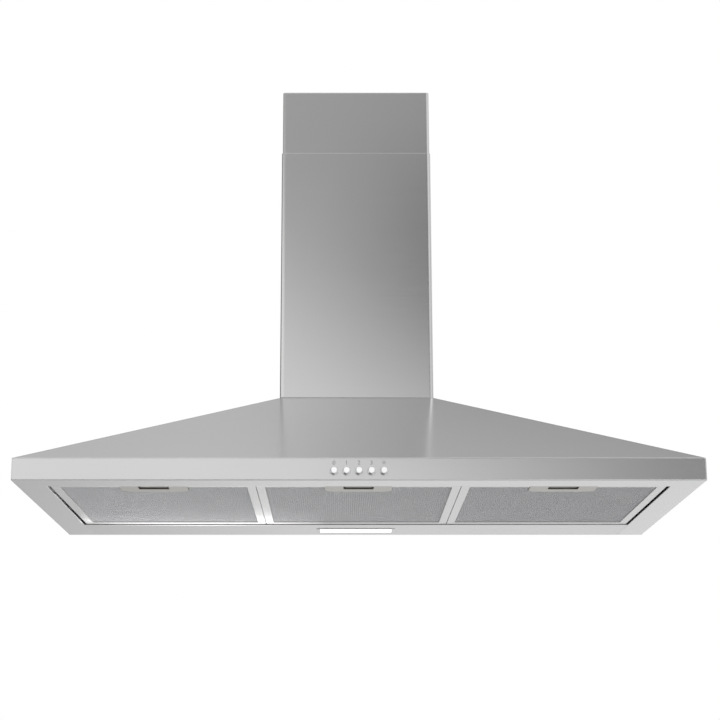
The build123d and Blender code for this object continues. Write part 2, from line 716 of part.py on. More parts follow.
def side_plate(side):
    """Side plate of the scroll with its flared inlet and fixing flange."""
    face = SCROLL_HALF + SCROLL_SHEET
    outline = Plane.YZ.offset(SCROLL_HALF) * scroll_outline(SCROLL_SHEET)
    plate = extrude(outline, SCROLL_SHEET, dir=(1, 0, 0))
    mouth_radius = INLET_RADIUS + INLET_FLARE
    plate -= rod(mouth_radius, (0, FAN_Y, FAN_Z), (face + OVERRUN, FAN_Y, FAN_Z))
    middle = Vector(face - INLET_FLARE, mouth_radius)
    inner = INLET_FLARE - SCROLL_SHEET
    lip = make_face(
        [
            CenterArc(middle, INLET_FLARE, 270, 90),
            Line(middle + (INLET_FLARE, 0), middle + (inner, 0)),
            CenterArc(middle, inner, 270, 90),
            Line(middle - (0, inner), middle - (0, INLET_FLARE)),
        ]
    )
    mouth = revolve(Pos(0, FAN_Y, FAN_Z) * lip, Axis((0, FAN_Y, FAN_Z), (1, 0, 0)))
    flange = block(
        (face, face + SIDE_PLATE_FLANGE),
        (SCROLL_TONGUE, SCROLL_REAR),
        (CANOPY_TOP - SCROLL_SHEET, CANOPY_TOP),
    )
    plate = plate + mouth + flange
    for x, y in flange_screw_points():
        plate -= screw_hole((x, y, CANOPY_TOP), (0, 0, 1))
    if side > 0:
        for angle in arm_angles():
            y, z = around_fan(ARM_BOLT_CIRCLE, angle)
            plate -= screw_hole((face, y, z), (1, 0, 0))
        return plate
    return mirror(plate, Plane.YZ)


def wheel_blade():
    """Section of one forward-curved blade at the wheel's foot, in the fan's frame."""
    inner = WHEEL_RADIUS - BLADE_DEPTH
    outer = WHEEL_RADIUS - BLADE_SHEET / 2
    hollow = ThreePointArc(
        (inner, 0),
        ((inner + outer) / 2, BLADE_CAMBER),
        (outer, -BLADE_SWEEP),
    )
    return trace(hollow, BLADE_SHEET)


def fan_wheel():
    """Double-inlet wheel: disc and hub, curved blades and end rings."""
    half = WHEEL_WIDTH / 2
    blades = [Rot(0, 0, turn * 360 / BLADE_COUNT) * wheel_blade() for turn in range(BLADE_COUNT)]
    vanes = extrude(Sketch() + blades, half, both=True)
    disc = extrude(Circle(WHEEL_RADIUS - BLADE_DEPTH / 2), WHEEL_DISC / 2, both=True)
    hub = extrude(Circle(HUB_RADIUS), HUB_LENGTH / 2, both=True)
    ring_plan = Circle(WHEEL_RADIUS) - Circle(WHEEL_RADIUS - BLADE_DEPTH / 3)
    ring = extrude(ring_plan, WHEEL_RING)
    rings = [Pos(0, 0, -half) * ring, Pos(0, 0, half - WHEEL_RING) * ring]
    bore = extrude(Circle(SHAFT_RADIUS), HUB_LENGTH, both=True)
    wheel = vanes + disc + hub + rings - bore
    return Plane((0, FAN_Y, FAN_Z), x_dir=(0, 1, 0), z_dir=(1, 0, 0)) * wheel


def motor_shaft():
    """Shaft from the wheel's hub into the motor."""
    end = MOTOR_START + MOTOR_LENGTH - MOTOR_BELL
    shaft = rod(SHAFT_RADIUS, (-SHAFT_OVERHANG, FAN_Y, FAN_Z), (end, FAN_Y, FAN_Z))
    return chamfer(shaft.edges(), SHAFT_CHAMFER)


def motor_body():
    """Motor with an end bell each side and seats for its bearings."""
    end = MOTOR_START + MOTOR_LENGTH
    shoulder = MOTOR_SHOULDER
    rear_seat = end - MOTOR_BELL
    outline = Polygon(
        (MOTOR_START, BEARING_RADIUS),
        (MOTOR_START, shoulder),
        (MOTOR_START + MOTOR_BELL, MOTOR_RADIUS),
        (end - MOTOR_BELL, MOTOR_RADIUS),
        (end, shoulder),
        (end, 0),
        (rear_seat + SHAFT_END_PLAY, 0),
        (rear_seat + SHAFT_END_PLAY, BEARING_RADIUS),
        (rear_seat - BEARING_WIDTH, BEARING_RADIUS),
        (rear_seat - BEARING_WIDTH, SHAFT_RADIUS + SHAFT_ROOM),
        (MOTOR_START + BEARING_WIDTH, SHAFT_RADIUS + SHAFT_ROOM),
        (MOTOR_START + BEARING_WIDTH, BEARING_RADIUS),
        align=None,
    )
    return revolve(Pos(0, FAN_Y, FAN_Z) * outline, Axis((0, FAN_Y, FAN_Z), (1, 0, 0)))


def motor_bearings():
    """Two plain rings that carry the shaft in the motor."""
    rings = []
    rear_seat = MOTOR_START + MOTOR_LENGTH - MOTOR_BELL
    for start in (MOTOR_START, rear_seat - BEARING_WIDTH):
        ends = ((start, FAN_Y, FAN_Z), (start + BEARING_WIDTH, FAN_Y, FAN_Z))
        rings.append(rod(BEARING_RADIUS, *ends) - rod(SHAFT_RADIUS + SHAFT_PLAY, *ends))
    return rings


def arm_plane():
    """Outer face of the right side plate's grommets, where the arms lie."""
    return SCROLL_HALF + SCROLL_SHEET + GROMMET_HEIGHT


def motor_band():
    """Clamping band round the motor with its three arms."""
    start = arm_plane()
    end = (start + ARM_SHEET, FAN_Y, FAN_Z)
    arms = block(
        (start, start + ARM_SHEET),
        (FAN_Y, FAN_Y + ARM_BOLT_CIRCLE + GROMMET_RADIUS),
        about(FAN_Z, ARM_WIDTH),
    )
    spread = [arms.rotate(Axis((0, FAN_Y, FAN_Z), (1, 0, 0)), angle) for angle in arm_angles()]
    band_ends = ((start + ARM_SHEET - BAND_WIDTH, FAN_Y, FAN_Z), end)
    band = rod(MOTOR_RADIUS + BAND_SHEET, *band_ends)
    carrier = band + spread - rod(MOTOR_RADIUS, (0, FAN_Y, FAN_Z), (end[0] + OVERRUN, FAN_Y, FAN_Z))
    for angle in arm_angles():
        y, z = around_fan(ARM_BOLT_CIRCLE, angle)
        carrier -= screw_hole((start, y, z), (1, 0, 0))
    return carrier


def motor_grommets():
    """Rubber rings between the motor's arms and the side plate."""
    start = SCROLL_HALF + SCROLL_SHEET
    grommets = []
    for angle in arm_angles():
        y, z = around_fan(ARM_BOLT_CIRCLE, angle)
        ends = ((start, y, z), (start + GROMMET_HEIGHT, y, z))
        grommets.append(rod(GROMMET_RADIUS, *ends) - rod(SCREW_HOLE, *ends))
    return grommets


def motor_screws():
    """Screws through the arms, grommets and side plate."""
    seat = arm_plane() + ARM_SHEET
    length = ARM_SHEET + GROMMET_HEIGHT + 2 * SCROLL_SHEET
    points = [around_fan(ARM_BOLT_CIRCLE, angle) for angle in arm_angles()]
    return [screw((seat, y, z), (-1, 0, 0), length) for y, z in points]


# --- deck and outlet ----------------------------------------------------------------
def deck():
    """Plate across the canopy's rim that carries the blower and the outlet."""
    half = HALF_CHIMNEY - SHEET - DECK_PLAY
    depth = (-CHIMNEY_DEPTH + SHEET + DECK_PLAY, -SHEET - DECK_PLAY)
    plate = block(about(0, 2 * half), depth, (CANOPY_TOP, DECK_TOP))
    front_corners = plate.edges().filter_by(Axis.Z).group_by(Axis.Y)[0]
    plate = fillet(front_corners, CHIMNEY_CORNER)
    plate -= block(
        about(0, 2 * SCROLL_HALF),
        (SCROLL_TONGUE, SCROLL_REAR),
        (CANOPY_TOP - OVERRUN, DECK_TOP + OVERRUN),
    )
    for x, y in rim_screw_points() + flange_screw_points():
        plate -= screw_hole((x, y, DECK_TOP), (0, 0, 1))
    return plate


def deck_screws():
    """Screws from the deck into the canopy's rim."""
    return [screw((x, y, DECK_TOP), (0, 0, -1), LONG_SCREW) for x, y in rim_screw_points()]


def blower_screws():
    """Screws through the adaptor's flange, the deck and the side plates."""
    seat = DECK_TOP + ADAPTOR_SHEET
    return [screw((x, y, seat), (0, 0, -1), LONG_SCREW) for x, y in flange_screw_points()]


def outlet_adaptor():
    """Moulded transition from the scroll's square mouth to the round collar."""
    mouth_y = (SCROLL_TONGUE + SCROLL_REAR) / 2
    mouth_depth = SCROLL_REAR - SCROLL_TONGUE

    def passage(grow):
        mouth = Pos(0, mouth_y, DECK_TOP) * RectangleRounded(
            2 * SCROLL_HALF + 2 * grow, mouth_depth + 2 * grow, ADAPTOR_SHEET * 3 + grow
        )
        ring = Pos(0, DUCT_Y, COLLAR_FOOT) * Circle(COLLAR_BORE + grow)
        return loft([mouth.face(), ring.face()])

    flange = block(
        about(0, 2 * (SCROLL_HALF + ADAPTOR_SHEET + SIDE_PLATE_FLANGE)),
        (SCROLL_TONGUE - ADAPTOR_FLANGE / 2, SCROLL_REAR + ADAPTOR_FLANGE / 2),
        (DECK_TOP, DECK_TOP + ADAPTOR_SHEET),
    )
    body = flange + passage(COLLAR_SHEET) - passage(0)
    for x, y in flange_screw_points():
        body -= screw_hole((x, y, DECK_TOP), (0, 0, 1))
    return body


def outlet_collar():
    """Round spigot for the duct, with a ledge that the closed flaps lie on."""
    wall = Circle(COLLAR_RADIUS) - Circle(COLLAR_BORE)
    collar = extrude(Pos(0, DUCT_Y, COLLAR_FOOT) * wall, COLLAR_HEIGHT)
    ledge_plan = Circle(COLLAR_BORE + COLLAR_SHEET / 2) - Circle(COLLAR_BORE - FLAP_PLAY - FLAP_LEDGE)
    ledge_top = FLAP_Z - FLAP_SHEET / 2 - SEAT_GAP
    ledge = extrude(Pos(0, DUCT_Y, ledge_top - FLAP_SHEET) * ledge_plan, FLAP_SHEET)
    collar += ledge
    knuckle = FLAP_PIN + KNUCKLE_PLAY + KNUCKLE_SHEET
    clearance = block(
        about(0, 2 * COLLAR_BORE),
        about(DUCT_Y, 2 * knuckle + 2 * FLAP_PLAY),
        (ledge_top - 2 * FLAP_SHEET, ledge_top + OVERRUN),
    )
    collar -= clearance & rod(COLLAR_BORE, (0, DUCT_Y, COLLAR_FOOT), (0, DUCT_Y, COLLAR_TOP))
    reach = COLLAR_RADIUS + OVERRUN
    return collar - rod(FLAP_PIN, (-reach, DUCT_Y, FLAP_Z), (reach, DUCT_Y, FLAP_Z))


def flap_pin():
    """Pin across the collar that both flaps turn on."""
    half = COLLAR_RADIUS - COLLAR_SHEET / 4
    return rod(FLAP_PIN, (-half, DUCT_Y, FLAP_Z), (half, DUCT_Y, FLAP_Z))


def backdraft_flap(side):
    """Half-round flap with two knuckles, towards the wall (1) or the front (-1)."""
    knuckle = FLAP_PIN + KNUCKLE_PLAY + KNUCKLE_SHEET
    half_plate = Circle(COLLAR_BORE - FLAP_PLAY) & Pos(0, COLLAR_BORE) * Rectangle(
        2 * COLLAR_BORE, 2 * COLLAR_BORE - 2 * knuckle - FLAP_PLAY
    )
    level = FLAP_Z - FLAP_SHEET / 2
    flap = extrude(Pos(0, DUCT_Y, level) * half_plate, FLAP_SHEET)
    near = KNUCKLE_APART / 2 if side > 0 else -KNUCKLE_APART / 2 - KNUCKLE_LENGTH
    for place in MIRRORED:
        start = place * COLLAR_BORE / 2 + near
        ends = ((start, DUCT_Y, FLAP_Z), (start + KNUCKLE_LENGTH, DUCT_Y, FLAP_Z))
        strap = block(
            (start, start + KNUCKLE_LENGTH),
            (DUCT_Y, DUCT_Y + knuckle + KNUCKLE_STRAP),
            (level, level + FLAP_SHEET),
        )
        flap += rod(knuckle, *ends) + strap
        flap -= rod(FLAP_PIN + KNUCKLE_PLAY, *ends)
    if side > 0:
        return flap
    return mirror(flap, Plane.XZ.offset(-DUCT_Y))


# --- switch -------------------------------------------------------------------------
def push_button(x):
    """Round button with its collar behind the apron and its stem."""
    collar_end = COLLAR_FACE + BUTTON_COLLAR_THICKNESS
    stem_end = SWITCH_FACE + STEM_LENGTH
    cap = rod(BUTTON_RADIUS, (x, FRONT - BUTTON_PROUD, BUTTON_LEVEL), (x, collar_end, BUTTON_LEVEL))
    cap = chamfer(cap.edges().sort_by(Axis.Y)[0], BUTTON_CHAMFER)
    collar = rod(BUTTON_COLLAR, (x, COLLAR_FACE, BUTTON_LEVEL), (x, collar_end, BUTTON_LEVEL))
    stem = rod(STEM_RADIUS, (x, collar_end, BUTTON_LEVEL), (x, stem_end, BUTTON_LEVEL))
    return cap + collar + stem


def switch_screw_points():
    """Places of the two screws that hold the switch block to its bracket."""
    return [side * (SWITCH_HALF + SWITCH_EAR / 2) for side in MIRRORED]


def switch_bracket():
    """Angle bracket behind the apron that carries the switch block."""
    half = SWITCH_HALF + SWITCH_EAR
    leg = block(
        about(0, 2 * half),
        (BRACKET_FACE, SWITCH_FACE),
        (SHEET, APRON_HEIGHT - 2 * SHEET),
    )
    foot = block(
        about(0, 2 * half),
        (BRACKET_FACE, BRACKET_FACE + SWITCH_BRACKET_FOOT),
        (SHEET, SHEET + SWITCH_BRACKET_SHEET),
    )
    bracket = leg + foot
    for x in button_places():
        outside, inside = BRACKET_FACE - OVERRUN, SWITCH_FACE + OVERRUN
        bracket -= rod(STEM_HOLE, (x, outside, BUTTON_LEVEL), (x, inside, BUTTON_LEVEL))
    for x in switch_screw_points():
        bracket -= screw_hole((x, SWITCH_FACE, BUTTON_LEVEL), (0, 1, 0))
    return bracket


def switch_block():
    """Moulded switch body with a bore for each button's stem."""
    low = BUTTON_LEVEL - SWITCH_HEIGHT / 2
    body = block(
        about(0, 2 * SWITCH_HALF),
        (SWITCH_FACE, SWITCH_FACE + SWITCH_DEPTH),
        (low, low + SWITCH_HEIGHT),
    )
    body = fillet(body.edges().filter_by(Axis.Y), SWITCH_CORNER)
    body += block(
        about(0, 2 * (SWITCH_HALF + SWITCH_EAR)),
        (SWITCH_FACE, SWITCH_FACE + SWITCH_EAR_SHEET),
        about(BUTTON_LEVEL, SWITCH_EAR_HEIGHT),
    )
    for x in button_places():
        outside = SWITCH_FACE - OVERRUN
        end = SWITCH_FACE + STEM_LENGTH + BUTTON_TRAVEL + OVERRUN
        bore = STEM_RADIUS + STEM_PLAY
        body -= rod(bore, (x, outside, BUTTON_LEVEL), (x, end, BUTTON_LEVEL))
    for x in switch_screw_points():
        body -= screw_hole((x, SWITCH_FACE, BUTTON_LEVEL), (0, 1, 0))
    return body


def switch_screws():
    """Screws from behind through the switch block's ears."""
    seat = SWITCH_FACE + SWITCH_EAR_SHEET
    return [screw((x, seat, BUTTON_LEVEL), (0, -1, 0), SHORT_SCREW) for x in switch_screw_points()]


# --- electrical box -----------------------------------------------------------------
def box_bounds():
    """Outer bounds of the terminal box as three pairs."""
    x = (-BOX_LEFT, -BOX_LEFT + BOX_WIDTH)
    return x, (-BACK_SHEET - BOX_DEPTH, -BACK_SHEET), (BOX_BOTTOM, BOX_BOTTOM + BOX_HEIGHT)


def capacitor_axis():
    """Middle line of the capacitor, as y and z."""
    return -BACK_SHEET - BOX_DEPTH / 2, BOX_BOTTOM + BOX_HEIGHT / 2


def gland_place():
    """Middle of the cable gland on top of the box, as x and y."""
    return -BOX_LEFT + GLAND_ALONG, -BACK_SHEET - BOX_DEPTH / 2


def terminal_box():
    """Open plastic box on the back panel."""
    x, y, z = box_bounds()
    box = fillet(block(x, y, z).edges().filter_by(Axis.Y), BOX_CORNER)
    box -= block(
        (x[0] + BOX_WALL, x[1] - BOX_WALL),
        (y[0] - OVERRUN, y[1] - BOX_WALL),
        (z[0] + BOX_WALL, z[1] - BOX_WALL),
    )
    stud_y, stud_z = capacitor_axis()
    stud_hole = CAPACITOR_STUD + STUD_PLAY
    box -= rod(stud_hole, (x[1] - CUT_PAST, stud_y, stud_z), (x[1] + CUT_PAST, stud_y, stud_z))
    gland_x, gland_y = gland_place()
    gland_hole = ((gland_x, gland_y, z[1] - CUT_PAST), (gland_x, gland_y, z[1] + CUT_PAST))
    return box - rod(GLAND_THREAD, *gland_hole)


def terminal_box_lid():
    """Lid of the terminal box, with a rib that locates it in the box."""
    x, y, z = box_bounds()
    lid = block(x, (y[0] - BOX_WALL, y[0]), z)
    lid = fillet(lid.edges().filter_by(Axis.Y), BOX_CORNER)
    inner_x = (x[0] + BOX_WALL + MESH_PLAY, x[1] - BOX_WALL - MESH_PLAY)
    inner_z = (z[0] + BOX_WALL + MESH_PLAY, z[1] - BOX_WALL - MESH_PLAY)
    rib = block(inner_x, (y[0], y[0] + LID_RIB), inner_z)
    rib -= block(
        (inner_x[0] + BOX_WALL, inner_x[1] - BOX_WALL),
        (y[0] - OVERRUN, y[0] + LID_RIB + OVERRUN),
        (inner_z[0] + BOX_WALL, inner_z[1] - BOX_WALL),
    )
    return lid + rib


def cable_gland():
    """Gland for the mains lead: threaded body, flange and six-sided cap."""
    x, y = gland_place()
    top = BOX_BOTTOM + BOX_HEIGHT
    flange_top = top + GLAND_STEP
    end = top + GLAND_HEIGHT
    thread = rod(GLAND_THREAD, (x, y, top - BOX_WALL - GLAND_STEP), (x, y, top))
    flange = rod(GLAND_FLANGE, (x, y, top), (x, y, flange_top))
    cap_height = GLAND_HEIGHT - 2 * GLAND_STEP
    cap = extrude(Pos(x, y, flange_top) * RegularPolygon(GLAND_RADIUS, 6), cap_height)
    dome = Pos(x, y, end - GLAND_STEP) * Cone(
        GLAND_THREAD, GLAND_TIP, GLAND_STEP, align=(Align.CENTER, Align.CENTER, Align.MIN)
    )
    bore = rod(GLAND_BORE, (x, y, top - 2 * CUT_PAST), (x, y, end + OVERRUN))
    return thread + flange + cap + dome - bore


def capacitor():
    """Run capacitor of the motor, held to the box by its stud."""
    y, z = capacitor_axis()
    start = -BOX_LEFT + BOX_WIDTH
    can = rod(CAPACITOR_RADIUS, (start, y, z), (start + CAPACITOR_LENGTH, y, z))
    can = chamfer(can.edges(), CAPACITOR_EDGE)
    return can + rod(CAPACITOR_STUD, (start - BOX_WALL - STUD_INSIDE, y, z), (start + OVERRUN, y, z))


# --- filters ------------------------------------------------------------------------
def channel_bounds(middle, drawn_in):
    """Plan of a filter drawn in from its outer edges, as x and y pairs."""
    x = about(middle, FILTER_WIDTH - 2 * drawn_in)
    return x, (FILTER_FRONT + drawn_in, FILTER_REAR - drawn_in)


def latch_slot(middle):
    """Slot in the filter's front web that the latch tongue passes through."""
    return block(
        about(middle, LATCH_WIDTH + 2 * LATCH_SIDE_PLAY),
        (FILTER_FRONT - OVERRUN, FILTER_FRONT + FILTER_SHEET + OVERRUN),
        (LATCH_LEVEL - LATCH_PLAY, LATCH_LEVEL + LATCH_SHEET + LATCH_PLAY),
    )


def filter_frame(middle):
    """Channel frame of a filter, notched for the latch pocket, with hinge tongues."""
    outer_x, outer_y = channel_bounds(middle, 0)
    frame = block(outer_x, outer_y, (FILTER_BASE, FILTER_TOP))
    window_y = (outer_y[0] + FRONT_RAIL, outer_y[1] - REAR_RAIL)
    frame -= block(about(middle, FILTER_WIDTH - 2 * FILTER_RAIL), window_y, (0, 2 * FILTER_TOP))
    groove = channel_bounds(middle, FILTER_SHEET)
    frame -= block(*groove, (FILTER_BASE + FILTER_SHEET, FILTER_TOP - FILTER_SHEET))
    frame -= block(
        about(middle, POCKET_WIDTH + 2 * MESH_PLAY),
        (FILTER_FRONT + FILTER_SHEET, window_y[0] + OVERRUN),
        (0, 2 * FILTER_TOP),
    )
    frame -= latch_slot(middle)
    lip_rear = REAR_PANEL_FRONT + SHEET
    half_sheet = TONGUE_SHEET / 2
    for side in MIRRORED:
        width = about(middle + side * TONGUE_OFFSET, TONGUE_WIDTH)
        arm = block(
            width,
            (FILTER_REAR - FILTER_SHEET, lip_rear + TONGUE_REACH),
            (HINGE_Z - half_sheet, HINGE_Z + half_sheet),
        )
        bead = rod(TONGUE_BEAD, (width[0], HINGE_Y, HINGE_Z), (width[1], HINGE_Y, HINGE_Z))
        hook = block(
            width,
            (lip_rear + TONGUE_REACH - half_sheet * 2, lip_rear + TONGUE_REACH),
            (HINGE_Z - 2 * TONGUE_SHEET, HINGE_Z),
        )
        frame += arm + bead + hook
    return frame


def pocket_bounds(middle, drawn_in):
    """Plan of the handle's pocket drawn in from its outer faces."""
    x = about(middle, POCKET_WIDTH - 2 * drawn_in)
    start = FILTER_FRONT + FILTER_SHEET + LATCH_PLAY
    return x, (start, start + POCKET_LENGTH - drawn_in)


def pocket_top():
    """Upper face of the handle's pocket."""
    return LATCH_LEVEL + LATCH_SHEET + LATCH_PLAY + POCKET_WALL


def filter_mesh(middle):
    """Mesh pack: a dished lower sheet, the knitted core and an upper sheet."""
    plan = channel_bounds(middle, FILTER_SHEET + MESH_PLAY)
    inner = channel_bounds(middle, FILTER_SHEET + MESH_PLAY + MESH_SHEET)
    lower = FILTER_BASE + MESH_RECESS
    top = FILTER_TOP - FILTER_SHEET - MESH_PLAY
    sheet_low = block(*plan, (FILTER_BASE + FILTER_SHEET, lower + MESH_SHEET))
    sheet_low -= block(*inner, (0, lower))
    core = block(*plan, (lower + MESH_SHEET, top - MESH_SHEET))
    sheet_high = block(*plan, (top - MESH_SHEET, top))
    pocket_x, pocket_y = pocket_bounds(middle, -MESH_PLAY)
    room = block(pocket_x, (FILTER_FRONT, pocket_y[1]), (0, pocket_top()))
    return [sheet_low - room, core - room, sheet_high - room]


def filter_springs(middle):
    """Two bow springs on the rear rail that press on the rear panel's lip."""
    apex = REAR_PANEL_FRONT - SEAT_GAP
    springs = []
    low = HINGE_Z + SHEET
    for side in MIRRORED:
        x = middle + side * BOW_OFFSET
        half = BOW_LENGTH / 2

        def bow(sheet):
            arch = ThreePointArc(
                (x - half + sheet, FILTER_REAR), (x, apex - sheet), (x + half - sheet, FILTER_REAR)
            )
            return make_face([arch, Line((x + half - sheet, FILTER_REAR), (x - half + sheet, FILTER_REAR))])

        feet = [
            Pos(x + end * (half + BOW_FOOT / 2 - BOW_SHEET / 2), FILTER_REAR + BOW_SHEET / 2)
            * Rectangle(BOW_FOOT + BOW_SHEET, BOW_SHEET)
            for end in MIRRORED
        ]
        plan = bow(0) - bow(BOW_SHEET) + feet
        springs.append(extrude(Pos(0, 0, low) * plan, BOW_HEIGHT, dir=(0, 0, 1)))
    return springs


def handle_plan(middle, drawn_in):
    """Outline of the handle with its bevelled rear corners."""
    half = HANDLE_WIDTH / 2 - drawn_in
    front = FILTER_FRONT + FILTER_SHEET
    rear = FILTER_FRONT + HANDLE_REACH - drawn_in
    bevel = HANDLE_BEVEL
    return Polygon(
        (middle - half, front),
        (middle + half, front),
        (middle + half, rear - bevel),
        (middle + half - bevel, rear),
        (middle - half + bevel, rear),
        (middle - half, rear - bevel),
        align=None,
    )


def filter_handle(middle):
    """Pressed handle with a finger window and the pocket that holds the latch."""
    mesh_level = FILTER_BASE + MESH_RECESS
    tray = extrude(Pos(0, 0, HANDLE_BASE) * handle_plan(middle, 0), mesh_level - HANDLE_BASE)
    edges = tray.edges().group_by(Axis.Z)[0]
    tray = fillet(edges, HANDLE_EDGE)
    tray -= extrude(Pos(0, 0, HANDLE_TOP) * handle_plan(middle, HANDLE_SHEET), mesh_level)
    rail_room = block(
        about(middle, HANDLE_WIDTH + 2 * OVERRUN),
        (FILTER_FRONT - OVERRUN, FILTER_FRONT + FRONT_RAIL + LATCH_PLAY),
        (FILTER_BASE, mesh_level + OVERRUN),
    )
    tray -= rail_room
    ceiling = pocket_top()
    outer_x, outer_y = pocket_bounds(middle, 0)
    inner_x, inner_y = pocket_bounds(middle, POCKET_WALL)
    pocket = block(outer_x, outer_y, (HANDLE_TOP, ceiling))
    pocket -= block(inner_x, (outer_y[0] - OVERRUN, inner_y[1]), (HANDLE_TOP, ceiling - POCKET_WALL))
    for side in MIRRORED:
        wall = middle + side * (POCKET_WIDTH / 2 - POCKET_WALL)
        ledge = sorted((wall, wall - side * RUNNER_WIDTH))
        pocket += block(
            ledge, outer_y, (LATCH_LEVEL - LATCH_PLAY - POCKET_WALL, LATCH_LEVEL - LATCH_PLAY)
        )
    handle = tray + pocket
    window = (WINDOW_FRONT, WINDOW_REAR)
    return handle - block(about(middle, WINDOW_WIDTH), window, (0, HANDLE_TOP))


def filter_latch(middle):
    """Sliding latch: tongue over the flange's lip, guide plate and finger wall."""
    level = (LATCH_LEVEL, LATCH_LEVEL + LATCH_SHEET)
    wall_rear = WINDOW_REAR - LATCH_TRAVEL - LATCH_PLAY
    tip = OPENING_FRONT - SHEET - LATCH_HOLD
    tongue = block(about(middle, LATCH_WIDTH), (tip, wall_rear), level)
    guide_width = POCKET_WIDTH - 2 * POCKET_WALL - 2 * LATCH_PLAY
    guide = block(about(middle, guide_width), (WINDOW_FRONT + LATCH_TRAVEL / 2, wall_rear), level)
    wall = block(
        about(middle, WINDOW_WIDTH - 4 * LATCH_SIDE_PLAY),
        (wall_rear - LATCH_WALL, wall_rear),
        (HANDLE_TOP + SEAT_GAP, level[1]),
    )
    return tongue + guide + wall


# --- writing ------------------------------------------------------------------------
def write(name, pieces):
    """Write one node, from a solid or a list of solids."""
    if isinstance(pieces, list):
        shape = Compound(children=[solid for piece in pieces for solid in piece.solids()])
    else:
        shape = Compound(children=list(pieces.solids()))
    export_step(shape, f"parts/{name}.step")


def chimney_screws(seat_of):
    """Two screws through the sides of a chimney cover."""
    return [screw(seat_of(side), (-side, 0, 0), SHORT_SCREW) for side in MIRRORED]


def main():
    """Build and write every node of the hood."""
    os.makedirs("parts", exist_ok=True)
    write("canopy_shell", canopy_shell())
    write("canopy_back_panel", canopy_back_panel())
    write("wall_hooks", wall_hooks())
    write("rear_panel", rear_panel())
    write("lamp_bezel", lamp_bezel())
    write("lamp_lens", lamp_lens())
    write("lamp_board", lamp_board())
    write("lamp_tray", lamp_tray())
    write("lower_chimney", lower_chimney())
    write("lower_chimney_brackets", chimney_brackets())
    write("lower_chimney_screws", chimney_screws(chimney_bracket_screw))
    write("upper_chimney", upper_chimney())
    write("upper_chimney_bracket", top_bracket())
    write("upper_chimney_screws", chimney_screws(top_bracket_screw))
    write("deck", deck())
    write("deck_screws", deck_screws())
    write("blower_scroll", blower_scroll())
    write("blower_side_left", side_plate(-1))
    write("blower_side_right", side_plate(1))
    write("blower_screws", blower_screws())
    write("fan_wheel", fan_wheel())
    write("motor_shaft", motor_shaft())
    write("motor_body", motor_body())
    write("motor_bearings", motor_bearings())
    write("motor_band", motor_band())
    write("motor_grommets", motor_grommets())
    write("motor_screws", motor_screws())
    write("outlet_adaptor", outlet_adaptor())
    write("outlet_collar", outlet_collar())
    write("flap_pin", flap_pin())
    write("backdraft_flap_rear", backdraft_flap(1))
    write("backdraft_flap_front", backdraft_flap(-1))
    write("switch_bracket", switch_bracket())
    write("switch_block", switch_block())
    write("switch_screws", switch_screws())
    for name, x in zip(("off", "low", "medium", "high", "light"), button_places()):
        write(f"button_{name}", push_button(x))
    write("terminal_box", terminal_box())
    write("terminal_box_lid", terminal_box_lid())
    write("cable_gland", cable_gland())
    write("capacitor", capacitor())
    for name, middle in zip(("left", "centre", "right"), filter_places()):
        write(f"filter_{name}_frame", filter_frame(middle))
        write(f"filter_{name}_mesh", filter_mesh(middle))
        write(f"filter_{name}_springs", filter_springs(middle))
        write(f"filter_{name}_handle", filter_handle(middle))
        write(f"filter_{name}_latch", filter_latch(middle))


main()
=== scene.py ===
"""Looks of the wall-mounted chimney range hood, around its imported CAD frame."""

import logging
from dataclasses import dataclass
from enum import Enum
from math import pi, radians

import bmesh
import bpy
from mathutils import Matrix, Vector


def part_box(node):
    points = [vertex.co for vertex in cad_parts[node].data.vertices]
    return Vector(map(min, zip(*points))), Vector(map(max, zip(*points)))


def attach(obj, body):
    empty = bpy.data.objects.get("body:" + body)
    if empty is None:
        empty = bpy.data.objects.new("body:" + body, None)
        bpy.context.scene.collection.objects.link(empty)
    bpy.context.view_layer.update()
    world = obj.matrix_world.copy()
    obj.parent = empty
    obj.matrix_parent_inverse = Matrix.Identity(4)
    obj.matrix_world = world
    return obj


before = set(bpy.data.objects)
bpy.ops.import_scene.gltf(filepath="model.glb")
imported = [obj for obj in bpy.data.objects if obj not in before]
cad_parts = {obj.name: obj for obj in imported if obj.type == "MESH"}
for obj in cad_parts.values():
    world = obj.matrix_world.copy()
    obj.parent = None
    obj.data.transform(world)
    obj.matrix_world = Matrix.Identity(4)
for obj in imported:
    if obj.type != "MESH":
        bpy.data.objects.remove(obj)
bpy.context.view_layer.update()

LOG = logging.getLogger("range_hood")
MM = 0.001
MICRON = 0.000001
STAND_UP = Matrix.Rotation(radians(90), 4, "X")

Colour = tuple[float, float, float]
Point = tuple[float, float, float]


class Side(Enum):
    """Filters and their columns, from left to right."""

    LEFT = "left"
    CENTRE = "centre"
    RIGHT = "right"


class GrainAxis(Enum):
    """Direction that the lines of a brushed surface run in, as the pattern's stretch."""

    ACROSS = (1.0, 60.0, 60.0)
    DEEP = (60.0, 1.0, 60.0)


